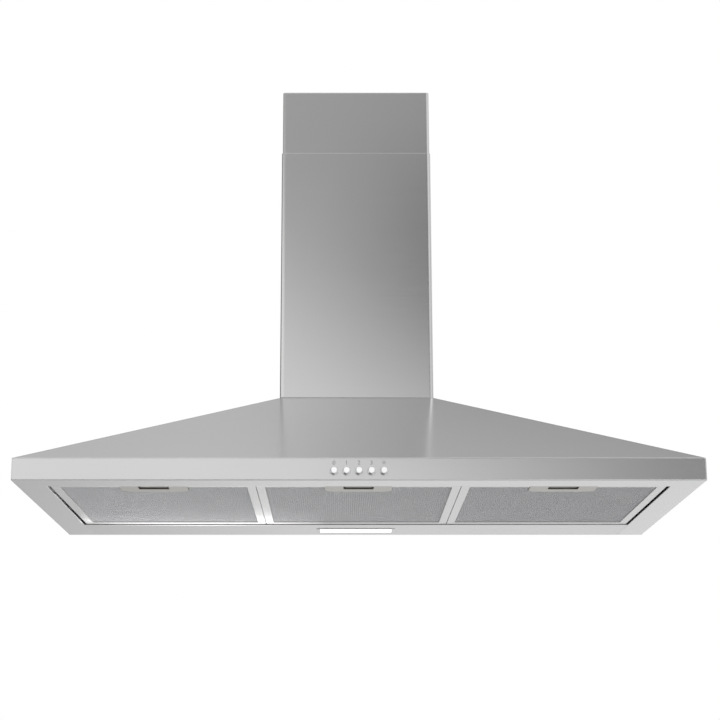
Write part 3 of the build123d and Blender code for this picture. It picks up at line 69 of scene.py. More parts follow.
# --- shader groups --------------------------------------------------------------------
class ShaderTree:
    """Adds nodes and links to one node tree."""

    def __init__(self, tree: bpy.types.NodeTree) -> None:
        """Work on a tree.

        Args:
            tree: the tree that gets the nodes.
        """
        self.tree = tree

    def node(self, kind: str, **settings: object) -> bpy.types.Node:
        """Add a node.

        Args:
            kind: Blender's name of the node type.
            **settings: attributes to set on it.

        Returns:
            The new node.
        """
        made = self.tree.nodes.new(kind)
        for key, value in settings.items():
            setattr(made, key, value)
        return made

    def link(self, start: bpy.types.NodeSocket, end: bpy.types.NodeSocket) -> None:
        """Join two sockets."""
        self.tree.links.new(start, end)

    def feed(self, value: object, slot: bpy.types.NodeSocket) -> None:
        """Give an input its value.

        Args:
            value: a socket to link or a number to set.
            slot: the input.
        """
        if isinstance(value, bpy.types.NodeSocket):
            self.link(value, slot)
        else:
            slot.default_value = value

    def math(self, operation: str, first: object, second: object,
             clamp: bool = False) -> bpy.types.NodeSocket:
        """Add a math node.

        Args:
            operation: name of the math operation.
            first: a socket or a number.
            second: a socket or a number.
            clamp: whether the result is kept between 0 and 1.

        Returns:
            The node's result socket.
        """
        made = self.node("ShaderNodeMath", operation=operation, use_clamp=clamp)
        self.feed(first, made.inputs[0])
        self.feed(second, made.inputs[1])
        return made.outputs[0]

    def coordinates(self, kind: str) -> bpy.types.NodeSocket:
        """Add a coordinate node and take one of its outputs."""
        return self.node("ShaderNodeTexCoord").outputs[kind]


class PatternGroup(ShaderTree):
    """Shader group that gives a tone factor, a roughness offset and a height."""

    def __init__(self, name: str) -> None:
        """Start a group with its outputs and the inputs that every pattern has.

        Args:
            name: name of the node group.
        """
        super().__init__(bpy.data.node_groups.new(name, "ShaderNodeTree"))
        self.source = self.node("NodeGroupInput")
        self.sink = self.node("NodeGroupOutput")
        for given in ("Contrast", "Spread"):
            self.take(given)
        for result in ("Tone", "Roughness", "Height"):
            self.tree.interface.new_socket(
                result, in_out="OUTPUT", socket_type="NodeSocketFloat"
            )

    def take(self, name: str, kind: str = "NodeSocketFloat") -> None:
        """Add an input, which each material sets."""
        self.tree.interface.new_socket(name, in_out="INPUT", socket_type=kind)

    def noise(self, place: bpy.types.NodeSocket, scale: object, detail: float = 2.0,
              roughness: float = 0.5) -> bpy.types.Node:
        """Add a noise texture.

        Args:
            place: coordinates that it reads.
            scale: a socket or a number of cells per metre.
            detail: number of finer layers.
            roughness: strength of the finer layers.

        Returns:
            The new node.
        """
        made = self.node("ShaderNodeTexNoise")
        self.link(place, made.inputs["Vector"])
        self.feed(scale, made.inputs["Scale"])
        made.inputs["Detail"].default_value = detail
        made.inputs["Roughness"].default_value = roughness
        return made

    def centred(self, pattern: bpy.types.NodeSocket) -> bpy.types.NodeSocket:
        """Shift a pattern of 0 to 1 so that its middle is 0."""
        return self.math("SUBTRACT", pattern, 0.5)

    def put(self, shade: bpy.types.NodeSocket, rough: bpy.types.NodeSocket,
            height: bpy.types.NodeSocket) -> bpy.types.NodeTree:
        """Send the patterns to the group's outputs.

        Args:
            shade: centred pattern that tints the surface.
            rough: centred pattern that changes its roughness.
            height: pattern of its relief.

        Returns:
            The finished group.
        """
        tint = self.math("MULTIPLY", shade, self.source.outputs["Contrast"])
        self.link(self.math("ADD", tint, 1.0), self.sink.inputs["Tone"])
        offset = self.math("MULTIPLY", rough, self.source.outputs["Spread"])
        self.link(offset, self.sink.inputs["Roughness"])
        self.link(height, self.sink.inputs["Height"])
        return self.tree


def brushed_group() -> bpy.types.NodeTree:
    """Lines of a brushed sheet, with soft broad streaks and handling marks.

    Returns:
        A group that gives a tone factor, a roughness offset and a height.
    """
    group = PatternGroup("brushed_lines")
    group.take("Stretch", "NodeSocketVector")
    place = group.coordinates("Object")
    stretched = group.node("ShaderNodeVectorMath", operation="MULTIPLY")
    group.link(place, stretched.inputs[0])
    group.link(group.source.outputs["Stretch"], stretched.inputs[1])
    along = stretched.outputs[0]
    lines = group.noise(along, scale=34.0, detail=4.0, roughness=0.6).outputs[0]
    streaks = group.noise(along, scale=6.0, detail=3.0).outputs[0]
    clouds = group.noise(place, scale=7.0).outputs[0]
    faint = group.math("MULTIPLY", group.centred(streaks), 0.5)
    shade = group.math("ADD", group.centred(lines), faint)
    rough = group.math("ADD", shade, group.centred(clouds))
    return group.put(shade, rough, lines)


def speckle_group() -> bpy.types.NodeTree:
    """Fine even texture of a moulded, cast or painted surface with soft clouding.

    Returns:
        A group that gives a tone factor, a roughness offset and a height.
    """
    group = PatternGroup("fine_speckle")
    group.take("Scale")
    place = group.coordinates("Object")
    grain = group.noise(place, group.source.outputs["Scale"]).outputs[0]
    clouds = group.noise(place, scale=18.0, detail=3.0).outputs[0]
    shade = group.math("ADD", group.centred(grain), group.centred(clouds))
    return group.put(shade, shade, grain)


def spangle_group() -> bpy.types.NodeTree:
    """Crystal pattern of galvanised sheet.

    Returns:
        A group that gives a tone factor, a roughness offset and a height.
    """
    ragged = 6.0 * MM
    group = PatternGroup("zinc_spangle")
    group.take("Scale")
    place = group.coordinates("Object")
    warp = group.noise(place, scale=160.0)
    pushed = group.node("ShaderNodeVectorMath", operation="MULTIPLY_ADD")
    group.link(warp.outputs[1], pushed.inputs[0])
    pushed.inputs[1].default_value = (ragged, ragged, ragged)
    group.link(place, pushed.inputs[2])
    crystals = group.node("ShaderNodeTexVoronoi")
    group.link(pushed.outputs[0], crystals.inputs["Vector"])
    group.link(group.source.outputs["Scale"], crystals.inputs["Scale"])
    split = group.node("ShaderNodeSeparateColor")
    group.link(crystals.outputs["Color"], split.inputs[0])
    tint, turn, height = split.outputs
    return group.put(group.centred(tint), group.centred(turn), height)


class Groups:
    """The shader groups that the finishes share, each built once."""

    def __init__(self) -> None:
        """Build every group."""
        self.brushed = brushed_group()
        self.speckle = speckle_group()
        self.spangle = spangle_group()


# --- finishes -------------------------------------------------------------------------
@dataclass(frozen=True)
class Finish:
    """A surface finish whose pattern comes from one shader group.

    Args:
        name: its name, and its material's.
        colour: its base colour.
        roughness: its middle roughness.
        metallic: how much it is a metal.
        contrast: how strongly the pattern tints it.
        spread: how strongly the pattern changes its roughness.
        bump: depth of its relief in metres.
        glow: strength of its own light.
        fold: radius of its folds' soft edges in metres.
        scale: cells of its pattern per metre.
    """

    name: str
    colour: Colour
    roughness: float
    metallic: float = 0.0
    contrast: float = 0.05
    spread: float = 0.05
    bump: float = 0.0
    glow: float = 0.0
    fold: float = 0.0
    scale: float = 900.0

    def pattern(self, groups: Groups) -> bpy.types.NodeTree:
        """Group that carries the finish's pattern."""
        return groups.speckle

    def tune(self, node: bpy.types.Node) -> None:
        """Set the size of the pattern."""
        node.inputs["Scale"].default_value = self.scale

    def relief(self, nodes: ShaderTree, height: bpy.types.NodeSocket) -> bpy.types.NodeSocket:
        """Add the surface's relief and its soft folds.

        Args:
            nodes: the material's nodes.
            height: the pattern's height.

        Returns:
            The surface's normal.
        """
        bump = nodes.node("ShaderNodeBump")
        bump.inputs["Strength"].default_value = 1.0
        bump.inputs["Distance"].default_value = self.bump
        nodes.link(height, bump.inputs["Height"])
        if self.fold:
            edges = nodes.node("ShaderNodeBevel", samples=6)
            edges.inputs["Radius"].default_value = self.fold
            nodes.link(edges.outputs[0], bump.inputs["Normal"])
        return bump.outputs[0]

    def build(self, groups: Groups) -> bpy.types.Material:
        """Make the material.

        Args:
            groups: the shared shader groups.

        Returns:
            The finished material.
        """
        made = bpy.data.materials.new(self.name)
        made.use_nodes = True
        nodes = ShaderTree(made.node_tree)
        shader = made.node_tree.nodes["Principled BSDF"]
        pattern = nodes.node("ShaderNodeGroup", node_tree=self.pattern(groups))
        pattern.inputs["Contrast"].default_value = self.contrast
        pattern.inputs["Spread"].default_value = self.spread
        self.tune(pattern)
        tinted = nodes.node("ShaderNodeVectorMath", operation="SCALE")
        tinted.inputs[0].default_value = self.colour
        nodes.link(pattern.outputs["Tone"], tinted.inputs["Scale"])
        nodes.link(tinted.outputs[0], shader.inputs["Base Color"])
        rough = nodes.math("ADD", pattern.outputs["Roughness"], self.roughness, clamp=True)
        nodes.link(rough, shader.inputs["Roughness"])
        if self.bump:
            nodes.link(self.relief(nodes, pattern.outputs["Height"]), shader.inputs["Normal"])
        shader.inputs["Metallic"].default_value = self.metallic
        if self.glow:
            shader.inputs["Emission Color"].default_value = (*self.colour, 1.0)
            shader.inputs["Emission Strength"].default_value = self.glow
        return made


@dataclass(frozen=True)
class Brushed(Finish):
    """Brushed sheet metal, with lines along one axis."""

    metallic: float = 1.0
    axis: GrainAxis = GrainAxis.ACROSS

    def pattern(self, groups: Groups) -> bpy.types.NodeTree:
        """Group that carries the brushed lines."""
        return groups.brushed

    def tune(self, node: bpy.types.Node) -> None:
        """Lay the lines along the finish's axis."""
        node.inputs["Stretch"].default_value = self.axis.value


@dataclass(frozen=True)
class Galvanised(Finish):
    """Zinc-coated sheet with its crystal pattern."""

    scale: float = 90.0

    def pattern(self, groups: Groups) -> bpy.types.NodeTree:
        """Group that carries the crystals."""
        return groups.spangle


STEEL = (0.626, 0.626, 0.626)

FINISHES: tuple[Finish, ...] = (
    Brushed("steel_front", STEEL, 0.18, spread=0.03, bump=3 * MICRON, fold=2.0 * MM),
    Brushed("steel_flange", STEEL, 0.24, spread=0.04, bump=4 * MICRON, fold=0.8 * MM),
    Brushed("steel_frame", (0.66, 0.66, 0.655), 0.26, spread=0.04, bump=4 * MICRON,
            fold=1.5 * MM, axis=GrainAxis.DEEP),
    Brushed("handle_metal", (0.46, 0.445, 0.41), 0.34, bump=6 * MICRON),
    Finish("mesh_metal", (0.55, 0.55, 0.562), 0.36, metallic=0.55, contrast=0.10, spread=0.10,
           bump=20 * MICRON),
    # Same aluminium as the sheet, but darker: this colour is painted shade of the deeper mesh
    # layers seen through the sheet's holes.
    Finish("mesh_core_painted_shade", (0.37, 0.37, 0.376), 0.50, metallic=0.7, contrast=0.35, spread=0.20,
           bump=200 * MICRON),
    Galvanised("galvanised", (0.60, 0.62, 0.63), 0.40, metallic=0.95, contrast=0.16,
               spread=0.12),
    Finish("zinc_plate", (0.62, 0.61, 0.57), 0.32, metallic=1.0, contrast=0.06, spread=0.06,
           bump=20 * MICRON),
    Finish("bright_screw", (0.70, 0.69, 0.66), 0.22, metallic=1.0, spread=0.06),
    Finish("ground_steel", (0.70, 0.70, 0.71), 0.14, metallic=1.0, contrast=0.04),
    Finish("motor_metal", (0.42, 0.43, 0.44), 0.42, metallic=0.9, contrast=0.10, spread=0.10,
           bump=80 * MICRON),
    Finish("chrome", (0.86, 0.86, 0.87), 0.07, metallic=1.0, contrast=0.02, spread=0.04),
    Finish("diffuser", (0.95, 0.95, 0.94), 0.55, contrast=0.02, bump=30 * MICRON, glow=0.9),
    Finish("white_board", (0.82, 0.82, 0.80), 0.40),
    Finish("white_plastic", (0.78, 0.78, 0.76), 0.38, contrast=0.04, spread=0.06,
           bump=40 * MICRON),
    Finish("grey_plastic", (0.19, 0.195, 0.20), 0.48, contrast=0.06, spread=0.06,
           bump=50 * MICRON),
    Finish("black_plastic", (0.022, 0.022, 0.023), 0.44, contrast=0.10, spread=0.08,
           bump=50 * MICRON),
    Finish("dark_plastic", (0.035, 0.036, 0.038), 0.40, contrast=0.10, spread=0.08,
           bump=40 * MICRON),
    Finish("rubber", (0.016, 0.016, 0.016), 0.75, contrast=0.12, spread=0.08,
           bump=60 * MICRON),
    Finish("label_ink", (0.24, 0.24, 0.245), 0.50, contrast=0.08),
)

NODE_FINISH: dict[str, str] = {
    "canopy_shell": "steel_front",
    "canopy_back_panel": "galvanised",
    "wall_hooks": "zinc_plate",
    "rear_panel": "steel_flange",
    "lamp_bezel": "steel_flange",
    "lamp_lens": "diffuser",
    "lamp_board": "white_board",
    "lamp_tray": "galvanised",
    "lower_chimney": "steel_front",
    "lower_chimney_brackets": "galvanised",
    "lower_chimney_screws": "bright_screw",
    "upper_chimney": "steel_front",
    "upper_chimney_bracket": "galvanised",
    "upper_chimney_screws": "bright_screw",
    "deck": "galvanised",
    "deck_screws": "zinc_plate",
    "blower_scroll": "galvanised",
    "blower_side_left": "galvanised",
    "blower_side_right": "galvanised",
    "blower_screws": "zinc_plate",
    "fan_wheel": "dark_plastic",
    "motor_shaft": "ground_steel",
    "motor_body": "motor_metal",
    "motor_bearings": "ground_steel",
    "motor_band": "zinc_plate",
    "motor_grommets": "rubber",
    "motor_screws": "zinc_plate",
    "outlet_adaptor": "black_plastic",
    "outlet_collar": "black_plastic",
    "flap_pin": "ground_steel",
    "backdraft_flap_rear": "black_plastic",
    "backdraft_flap_front": "black_plastic",
    "switch_bracket": "galvanised",
    "switch_block": "black_plastic",
    "switch_screws": "zinc_plate",
    "button_off": "chrome",
    "button_low": "chrome",
    "button_medium": "chrome",
    "button_high": "chrome",
    "button_light": "chrome",
    "terminal_box": "grey_plastic",
    "terminal_box_lid": "grey_plastic",
    "cable_gland": "black_plastic",
    "capacitor": "white_plastic",
}

FILTER_FINISH: dict[str, str] = {
    "frame": "steel_frame",
    # The pack's darker colour is painted shade of its deeper layers.
    "mesh": "mesh_core_painted_shade",
    "springs": "ground_steel",
    "handle": "handle_metal",
    "latch": "handle_metal",
}


class Workshop:
    """Hands out materials and puts finished pieces into the scene."""

    def __init__(self) -> None:
        """Build the shared groups and every finish."""
        groups = Groups()
        self.materials = {finish.name: finish.build(groups) for finish in FINISHES}

    def dress(self, node: str, finish: str) -> None:
        """Give a carried-over CAD node its material.

        Args:
            node: name of the CAD node.
            finish: name of its finish.
        """
        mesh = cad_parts[node].data
        mesh.materials.clear()
        mesh.materials.append(self.materials[finish])
        LOG.info("dressed %s in %s", node, finish)

    def place(self, name: str, mesh: bmesh.types.BMesh, finish: str, body: str,
              slot: str) -> bpy.types.Object:
        """Turn a bmesh into a piece that rides on a body.

        Args:
            name: name of the piece.
            mesh: its geometry in the frame's metres; it is freed.
            finish: name of its finish.
            body: CAD body that it rides on.
            slot: the record's material slot; not used.

        Returns:
            The new object.
        """
        data = bpy.data.meshes.new(name)
        mesh.to_mesh(data)
        mesh.free()
        data.materials.append(self.materials[finish])
        piece = bpy.data.objects.new(name, data)
        bpy.context.scene.collection.objects.link(piece)
        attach(piece, body)
        LOG.info("placed %s on %s: %d faces", name, body, len(data.polygons))
        return piece


# --- sub-assemblies -------------------------------------------------------------------
@dataclass
class Hood:
    """The hood without its filters, whose shapes all come with the frame."""

    workshop: Workshop

    def dress(self) -> None:
        """Give each carried-over CAD node its finish."""
        for node, finish in NODE_FINISH.items():
            self.workshop.dress(node, finish)


@dataclass(frozen=True)
class Window:
    """Rectangle that a filter's sheet fills."""

    left: float
    right: float
    front: float
    rear: float

    def holds(self, point: Vector, margin: float) -> bool:
        """Tell whether a point lies inside, or outside it by less than the margin."""
        return (self.left - margin < point.x < self.right + margin
                and self.front - margin < point.y < self.rear + margin)


@dataclass
class GreaseFilter:
    """One filter: its frame, handle and latch from the frame, and its expanded sheet."""

    workshop: Workshop
    side: Side
    cell_width: float = 6.0 * MM
    cell_depth: float = 3.4 * MM
    spare_cells: int = 3
    strand: float = 0.42 * MM
    sheet: float = 0.35 * MM
    core_inset: float = 1.0 * MM
    side_rail: float = 11.4 * MM
    front_rail: float = 10.0 * MM
    rear_rail: float = 14.0 * MM
    tuck: float = 1.0 * MM
    level: float = 2.1 * MM

    def dress(self) -> None:
        """Give the filter's CAD nodes their finishes."""
        for part, finish in FILTER_FINISH.items():
            self.workshop.dress(f"filter_{self.side.value}_{part}", finish)

    def window(self) -> Window:
        """Extent of the sheet, tucked a little under the frame's rails.

        Returns:
            The rectangle that the sheet fills.
        """
        low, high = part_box(f"filter_{self.side.value}_mesh")
        return Window(
            left=low.x - self.core_inset + self.side_rail - self.tuck,
            right=high.x + self.core_inset - self.side_rail + self.tuck,
            front=low.y - self.core_inset + self.front_rail - self.tuck,
            rear=high.y + self.core_inset - self.rear_rail + self.tuck,
        )

    def turned_grid(self, window: Window) -> bmesh.types.BMesh:
        """Lay a grid of diamond cells over the window and a little past it.

        Args:
            window: the rectangle to cover.

        Returns:
            The grid's geometry.
        """
        mesh = bmesh.new()
        across = (window.right - window.left) / self.cell_width
        deep = (window.rear - window.front) / self.cell_depth
        count = int(across + deep) + self.spare_cells
        bmesh.ops.create_grid(mesh, x_segments=count, y_segments=count, size=count / 2)
        turn = Matrix.Rotation(radians(45), 4, "Z")
        bmesh.ops.transform(mesh, matrix=turn, verts=mesh.verts)
        diagonal = 2 ** 0.5
        grow = Matrix.Diagonal((self.cell_width / diagonal, self.cell_depth / diagonal, 1, 1))
        bmesh.ops.transform(mesh, matrix=grow, verts=mesh.verts)
        middle = Vector((
            (window.left + window.right) / 2, (window.front + window.rear) / 2, self.level
        ))
        bmesh.ops.translate(mesh, vec=middle, verts=mesh.verts)
        far = [
            face for face in mesh.faces
            if not window.holds(face.calc_center_median(), self.cell_width)
        ]
        bmesh.ops.delete(mesh, geom=far, context="FACES")
        return mesh

    def trim(self, mesh: bmesh.types.BMesh, window: Window) -> None:
        """Cut the sheet straight along the window's four sides.

        Args:
            mesh: the sheet's geometry.
            window: the rectangle that stays.
        """
        cuts = (
            ((window.left, 0, 0), (-1, 0, 0)),
            ((window.right, 0, 0), (1, 0, 0)),
            ((0, window.front, 0), (0, -1, 0)),
            ((0, window.rear, 0), (0, 1, 0)),
        )
        for point, outward in cuts:
            everything = [*mesh.verts, *mesh.edges, *mesh.faces]
            bmesh.ops.bisect_plane(
                mesh, geom=everything, plane_co=point, plane_no=outward, clear_outer=True
            )

    def clear_handle(self, mesh: bmesh.types.BMesh) -> None:
        """Cut the sheet back from the handle.

        Args:
            mesh: the sheet's geometry.
        """
        low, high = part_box(f"filter_{self.side.value}_handle")
        covered = [
            face for face in mesh.faces
            if low.x < face.calc_center_median().x < high.x
            and face.calc_center_median().y < high.y
        ]
        bmesh.ops.delete(mesh, geom=covered, context="FACES")

    def expanded_sheet(self) -> None:
        """Build the sheet of expanded metal from a turned grid of pierced cells."""
        window = self.window()
        mesh = self.turned_grid(window)
        cells = list(mesh.faces)
        bmesh.ops.inset_individual(mesh, faces=cells, thickness=self.strand)
        bmesh.ops.delete(mesh, geom=cells, context="FACES")
        self.trim(mesh, window)
        self.clear_handle(mesh)
        name = self.side.value
        piece = self.workshop.place(
            f"filter_{name}_expanded_sheet", mesh, "mesh_metal", f"filter_{name}",
            "aluminium_mesh",
        )
        thick = piece.modifiers.new("thickness", "SOLIDIFY")
        thick.thickness = self.sheet
        thick.offset = 0.0


@dataclass
class ButtonLabels:
    """Digits and lamp sign printed above the push buttons.

    The sun's ring and rays are shares of the digits' height.
    """

    workshop: Workshop
    digits: tuple[str, ...] = ("0", "1", "2", "3")
    height: float = 5.6 * MM
    level: float = 20.9 * MM
    proud: float = 0.06 * MM
    type_size: float = 1.38
    merge_distance: float = 1e-7
    ring_outer: float = 0.24
    ring_inner: float = 0.14
    ring_segments: int = 24
    rays: int = 8
    ray_start: float = 0.32
    ray_end: float = 0.5
    ray_width: float = 0.07

    def centre(self, button: str) -> float:
        """Middle of a button across the hood."""
        low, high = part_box(button)
        return (low.x + high.x) / 2

    def apron_face(self) -> float:
        """Front face of the apron."""
        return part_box("canopy_shell")[0].y

    def print_on(self, name: str, mesh: bmesh.types.BMesh) -> None:
        """Put a label on the apron."""
        self.workshop.place(name, mesh, "label_ink", "hood", "stainless_brushed")

    def digit(self, text: str, button: str) -> None:
        """Print one digit above its button.

        Args:
            text: the digit.
            button: CAD node of the button below it.
        """
        curve = bpy.data.curves.new(f"digit_{text}", "FONT")
        curve.body = text
        curve.size = self.height * self.type_size
        curve.align_x = "CENTER"
        curve.extrude = self.proud / 2
        writer = bpy.data.objects.new(f"digit_{text}_curve", curve)
        bpy.context.scene.collection.objects.link(writer)
        bpy.context.view_layer.update()
        data = bpy.data.meshes.new_from_object(writer)
        bpy.data.objects.remove(writer)
        mesh = bmesh.new()
        mesh.from_mesh(data)
        bmesh.ops.remove_doubles(mesh, verts=mesh.verts, dist=self.merge_distance)
        bmesh.ops.transform(mesh, matrix=STAND_UP, verts=mesh.verts)
        spot = Vector((self.centre(button), self.apron_face() - self.proud / 2, self.level))
        bmesh.ops.translate(mesh, vec=spot, verts=mesh.verts)
        self.print_on(f"label_{text}", mesh)

    def sun_ring(self, mesh: bmesh.types.BMesh, upright: Matrix) -> None:
        """Add the sun's ring.

        Args:
            mesh: the sign's geometry.
            upright: place of the sign's middle, facing the front.
        """
        bmesh.ops.create_circle(
            mesh, segments=self.ring_segments, radius=self.ring_outer * self.height,
            matrix=upright,
        )
        widened = bmesh.ops.extrude_edge_only(mesh, edges=list(mesh.edges))["geom"]
        inside = [item for item in widened if isinstance(item, bmesh.types.BMVert)]
        shrink = self.ring_inner / self.ring_outer
        middle = Matrix.Translation(-upright.to_translation())
        bmesh.ops.scale(mesh, vec=(shrink, 1, shrink), verts=inside, space=middle)

    def sun_rays(self, mesh: bmesh.types.BMesh, upright: Matrix) -> None:
        """Add the sun's rays.

        Args:
            mesh: the sign's geometry.
            upright: place of the sign's middle, facing the front.
        """
        start, end = self.ray_start * self.height, self.ray_end * self.height
        reach = Matrix.Translation(((start + end) / 2, 0, 0))
        size = Matrix.Diagonal((end - start, self.ray_width * self.height, 1, 1))
        for index in range(self.rays):
            turn = Matrix.Rotation(2 * pi * index / self.rays, 4, "Z")
            bmesh.ops.create_grid(
                mesh, x_segments=1, y_segments=1, size=0.5, matrix=upright @ turn @ reach @ size
            )

    def lamp_sign(self) -> None:
        """Print a small sun above the light button: a ring with short rays."""
        mesh = bmesh.new()
        middle = Vector((
            self.centre("button_light"), self.apron_face() - self.proud,
            self.level + self.height / 2,
        ))
        upright = Matrix.Translation(middle) @ STAND_UP
        self.sun_ring(mesh, upright)
        self.sun_rays(mesh, upright)
        body = bmesh.ops.extrude_face_region(mesh, geom=list(mesh.faces))["geom"]
        moved = [item for item in body if isinstance(item, bmesh.types.BMVert)]
        bmesh.ops.translate(mesh, vec=(0, self.proud, 0), verts=moved)
        bmesh.ops.recalc_face_normals(mesh, faces=mesh.faces)
        self.print_on("label_light", mesh)

    def build(self) -> None:
        """Print every label."""
        for text, button in zip(self.digits, ("off", "low", "medium", "high")):
            self.digit(text, f"button_{button}")
        self.lamp_sign()


# --- studio ---------------------------------------------------------------------------
@dataclass(frozen=True)
class Lamp:
    """One soft oval lamp of the studio.

    Args:
        name: its name.
        spot: where it stands.
        aimed_at: the point it faces.
        width: its long axis.
        depth: its short axis.
        power: its power in watts.
        mirrored: whether it shows in polished metal.
    """

    name: str
    spot: Point
    aimed_at: Point
    width: float
    depth: float
    power: float
    mirrored: bool = False


HOOD_MIDDLE = (0.0, -0.3, 0.2)

# The last two are small: one lights the left filter's rear rail, one the inside beside it.
LAMPS: tuple[Lamp, ...] = (
    Lamp("lamp_left", (-2.2, -2.4, 1.6), HOOD_MIDDLE, width=1.6, depth=1.6, power=9.0),
    Lamp("lamp_right", (2.6, -1.6, 1.0), HOOD_MIDDLE, width=1.2, depth=1.2, power=5.0),
    Lamp("lamp_low", (-0.45, -0.1, -0.55), (-0.3, -0.2, 0.0), width=0.2, depth=0.2, power=4.0),
    Lamp("lamp_edge", (-0.235, -0.088, -0.009), (-0.235, -0.15, -0.009), width=0.37,
         depth=0.016, power=0.018, mirrored=True),
    Lamp("lamp_inside", (-0.345, -0.083, 0.03), (-0.44, -0.16, 0.0), width=0.15, depth=0.04,
         power=0.06, mirrored=True),
)


class Axis(Enum):
    """Axis of a direction: x to the right, y to the wall or z up."""

    X = 0
    Y = 1
    Z = 2


@dataclass(frozen=True)
class Step:
    """Smooth step of a level along one axis of the direction.

    Args:
        axis: the axis.
        start: where the step begins.
        end: where it ends.
        low: level before it.
        high: level after it.
    """

    axis: Axis
    start: float
    end: float
    low: float = 0.0
    high: float = 1.0


@dataclass(frozen=True)
class Slope:
    """Level that changes evenly with the direction.

    Args:
        level: value straight ahead.
        across: change with the direction's x.
        upward: change with the direction's z.
    """

    level: float
    across: float = 0.0
    upward: float = 0.0


class WorldTones(ShaderTree):
    """Brightness of the surroundings in each direction, which the steel mirrors."""

    # Stretch of the directions that keeps each tone at its place in the camera's picture.
    STRETCH = (1.235, 1.0, 1.2)

    # In front of the hood: a slope from low to high with its bounds, then bands over it.
    FRONT_SLOPE = Slope(3.17, upward=-7.9)
    FRONT_LIFT = Step(Axis.X, -0.12, 0.12, 0.52, -0.5)
    FRONT_MOST = Step(Axis.X, 0.0, 0.33, 1.12, 0.2)
    FRONT_LEAST = Step(Axis.X, -0.01, 0.085, 0.50, 0.0)
    ABOVE, ABOVE_LEVEL = Step(Axis.Z, 0.38, 0.46), 0.455
    HIGH = Step(Axis.Z, 0.52, 0.62)
    HIGH_SLOPE, HIGH_LEAST = Slope(0.98, across=-9.0), 0.5
    HIGH_MOST = Step(Axis.X, -0.3, -0.12, 0.85, 1.5)
    BESIDE_HIGH = (Step(Axis.X, 0.25, 0.4), Step(Axis.Z, 0.24, 0.3))
    BESIDE = Step(Axis.X, 0.35, 0.6)
    BESIDE_LEVEL = Step(Axis.Z, 0.45, 0.6, 0.95, 1.6)
    UNDER = Step(Axis.Z, 0.02, 0.12, 1.0, 0.0)
    UNDER_LEVEL = Step(Axis.X, -0.1, 0.2, 0.12, 1.1)

    # Behind it: from low to high, then the bands at the right.
    BACK_RISE = Step(Axis.Z, -0.2, 0.68)
    BACK_LOW_SLOPE, BACK_LOW_MOST = Slope(0.865, across=1.25), 0.84
    BACK_HIGH_LEVEL = Step(Axis.X, -0.1, 0.1, 0.57, 0.30)
    BACK_LEAST = 0.25
    FLANK = (Step(Axis.X, 0.25, 0.45), Step(Axis.Z, 0.1, 0.25))
    FLANK_LEVEL = 0.95
    LOW_FLANK = (
        Step(Axis.X, 0.2, 0.28), Step(Axis.Z, -0.1, -0.05),
        Step(Axis.Z, 0.05, 0.15, 1.0, 0.0),
    )
    LOW_FLANK_LEVEL = 1.45

    # Both together, and what lies straight to the right and overhead.
    BEHIND = Step(Axis.Y, -0.2, 0.2)
    RIGHT, RIGHT_LEVEL = Step(Axis.X, 0.86, 0.97), 0.7
    OVERHEAD, OVERHEAD_LEVEL = Step(Axis.Z, 0.72, 0.86), 0.85

    def __init__(self, tree: bpy.types.NodeTree) -> None:
        """Read the direction in the world's node tree.

        Args:
            tree: the world's nodes.
        """
        super().__init__(tree)
        spread = self.node("ShaderNodeVectorMath", operation="MULTIPLY")
        self.link(self.coordinates("Generated"), spread.inputs[0])
        spread.inputs[1].default_value = self.STRETCH
        unit = self.node("ShaderNodeVectorMath", operation="NORMALIZE")
        self.link(spread.outputs[0], unit.inputs[0])
        split = self.node("ShaderNodeSeparateXYZ")
        self.link(unit.outputs[0], split.inputs[0])
        self.axes = dict(zip(Axis, split.outputs))

    def step(self, *steps: Step) -> bpy.types.NodeSocket:
        """Add one or more steps, multiplied by each other.

        Args:
            *steps: the steps.

        Returns:
            Their level in each direction.
        """
        level = None
        for step in steps:
            made = self.node("ShaderNodeMapRange", interpolation_type="SMOOTHSTEP")
            self.link(self.axes[step.axis], made.inputs["Value"])
            limits = (step.start, step.end, step.low, step.high)
            for socket, value in zip(list(made.inputs)[1:5], limits):
                socket.default_value = value
            result = made.outputs[0]
            level = result if level is None else self.math("MULTIPLY", level, result)
        return level

    def slope(self, slope: Slope) -> bpy.types.NodeSocket:
        """Add a slope.

        Args:
            slope: the slope.

        Returns:
            Its level in each direction.
        """
        sideways = self.math("MULTIPLY", self.axes[Axis.X], slope.across)
        rising = self.math("MULTIPLY", self.axes[Axis.Z], slope.upward)
        return self.math("ADD", self.math("ADD", sideways, rising), slope.level)

    def mix(self, share: bpy.types.NodeSocket, first: object,
            second: object) -> bpy.types.NodeSocket:
        """Blend from the first level to the second.

        Args:
            share: how much of the second level there is.
            first: first level, a socket or a number.
            second: second level, a socket or a number.

        Returns:
            The blended level.
        """
        kept = self.math("MULTIPLY", first, self.math("SUBTRACT", 1.0, share))
        return self.math("ADD", kept, self.math("MULTIPLY", second, share))

    def front(self) -> bpy.types.NodeSocket:
        """Studio in front of the hood.

        Returns:
            The light's strength in each direction.
        """
        level = self.math("ADD", self.slope(self.FRONT_SLOPE), self.step(self.FRONT_LIFT))
        level = self.math("MINIMUM", level, self.step(self.FRONT_MOST))
        level = self.math("MAXIMUM", level, self.step(self.FRONT_LEAST))
        level = self.mix(self.step(self.ABOVE), level, self.ABOVE_LEVEL)
        highest = self.math("MAXIMUM", self.slope(self.HIGH_SLOPE), self.HIGH_LEAST)
        highest = self.math("MINIMUM", highest, self.step(self.HIGH_MOST))
        level = self.mix(self.step(self.HIGH), level, highest)
        beside = self.math("MAXIMUM", self.step(*self.BESIDE_HIGH), self.step(self.BESIDE))
        level = self.mix(beside, level, self.step(self.BESIDE_LEVEL))
        return self.mix(self.step(self.UNDER), level, self.step(self.UNDER_LEVEL))

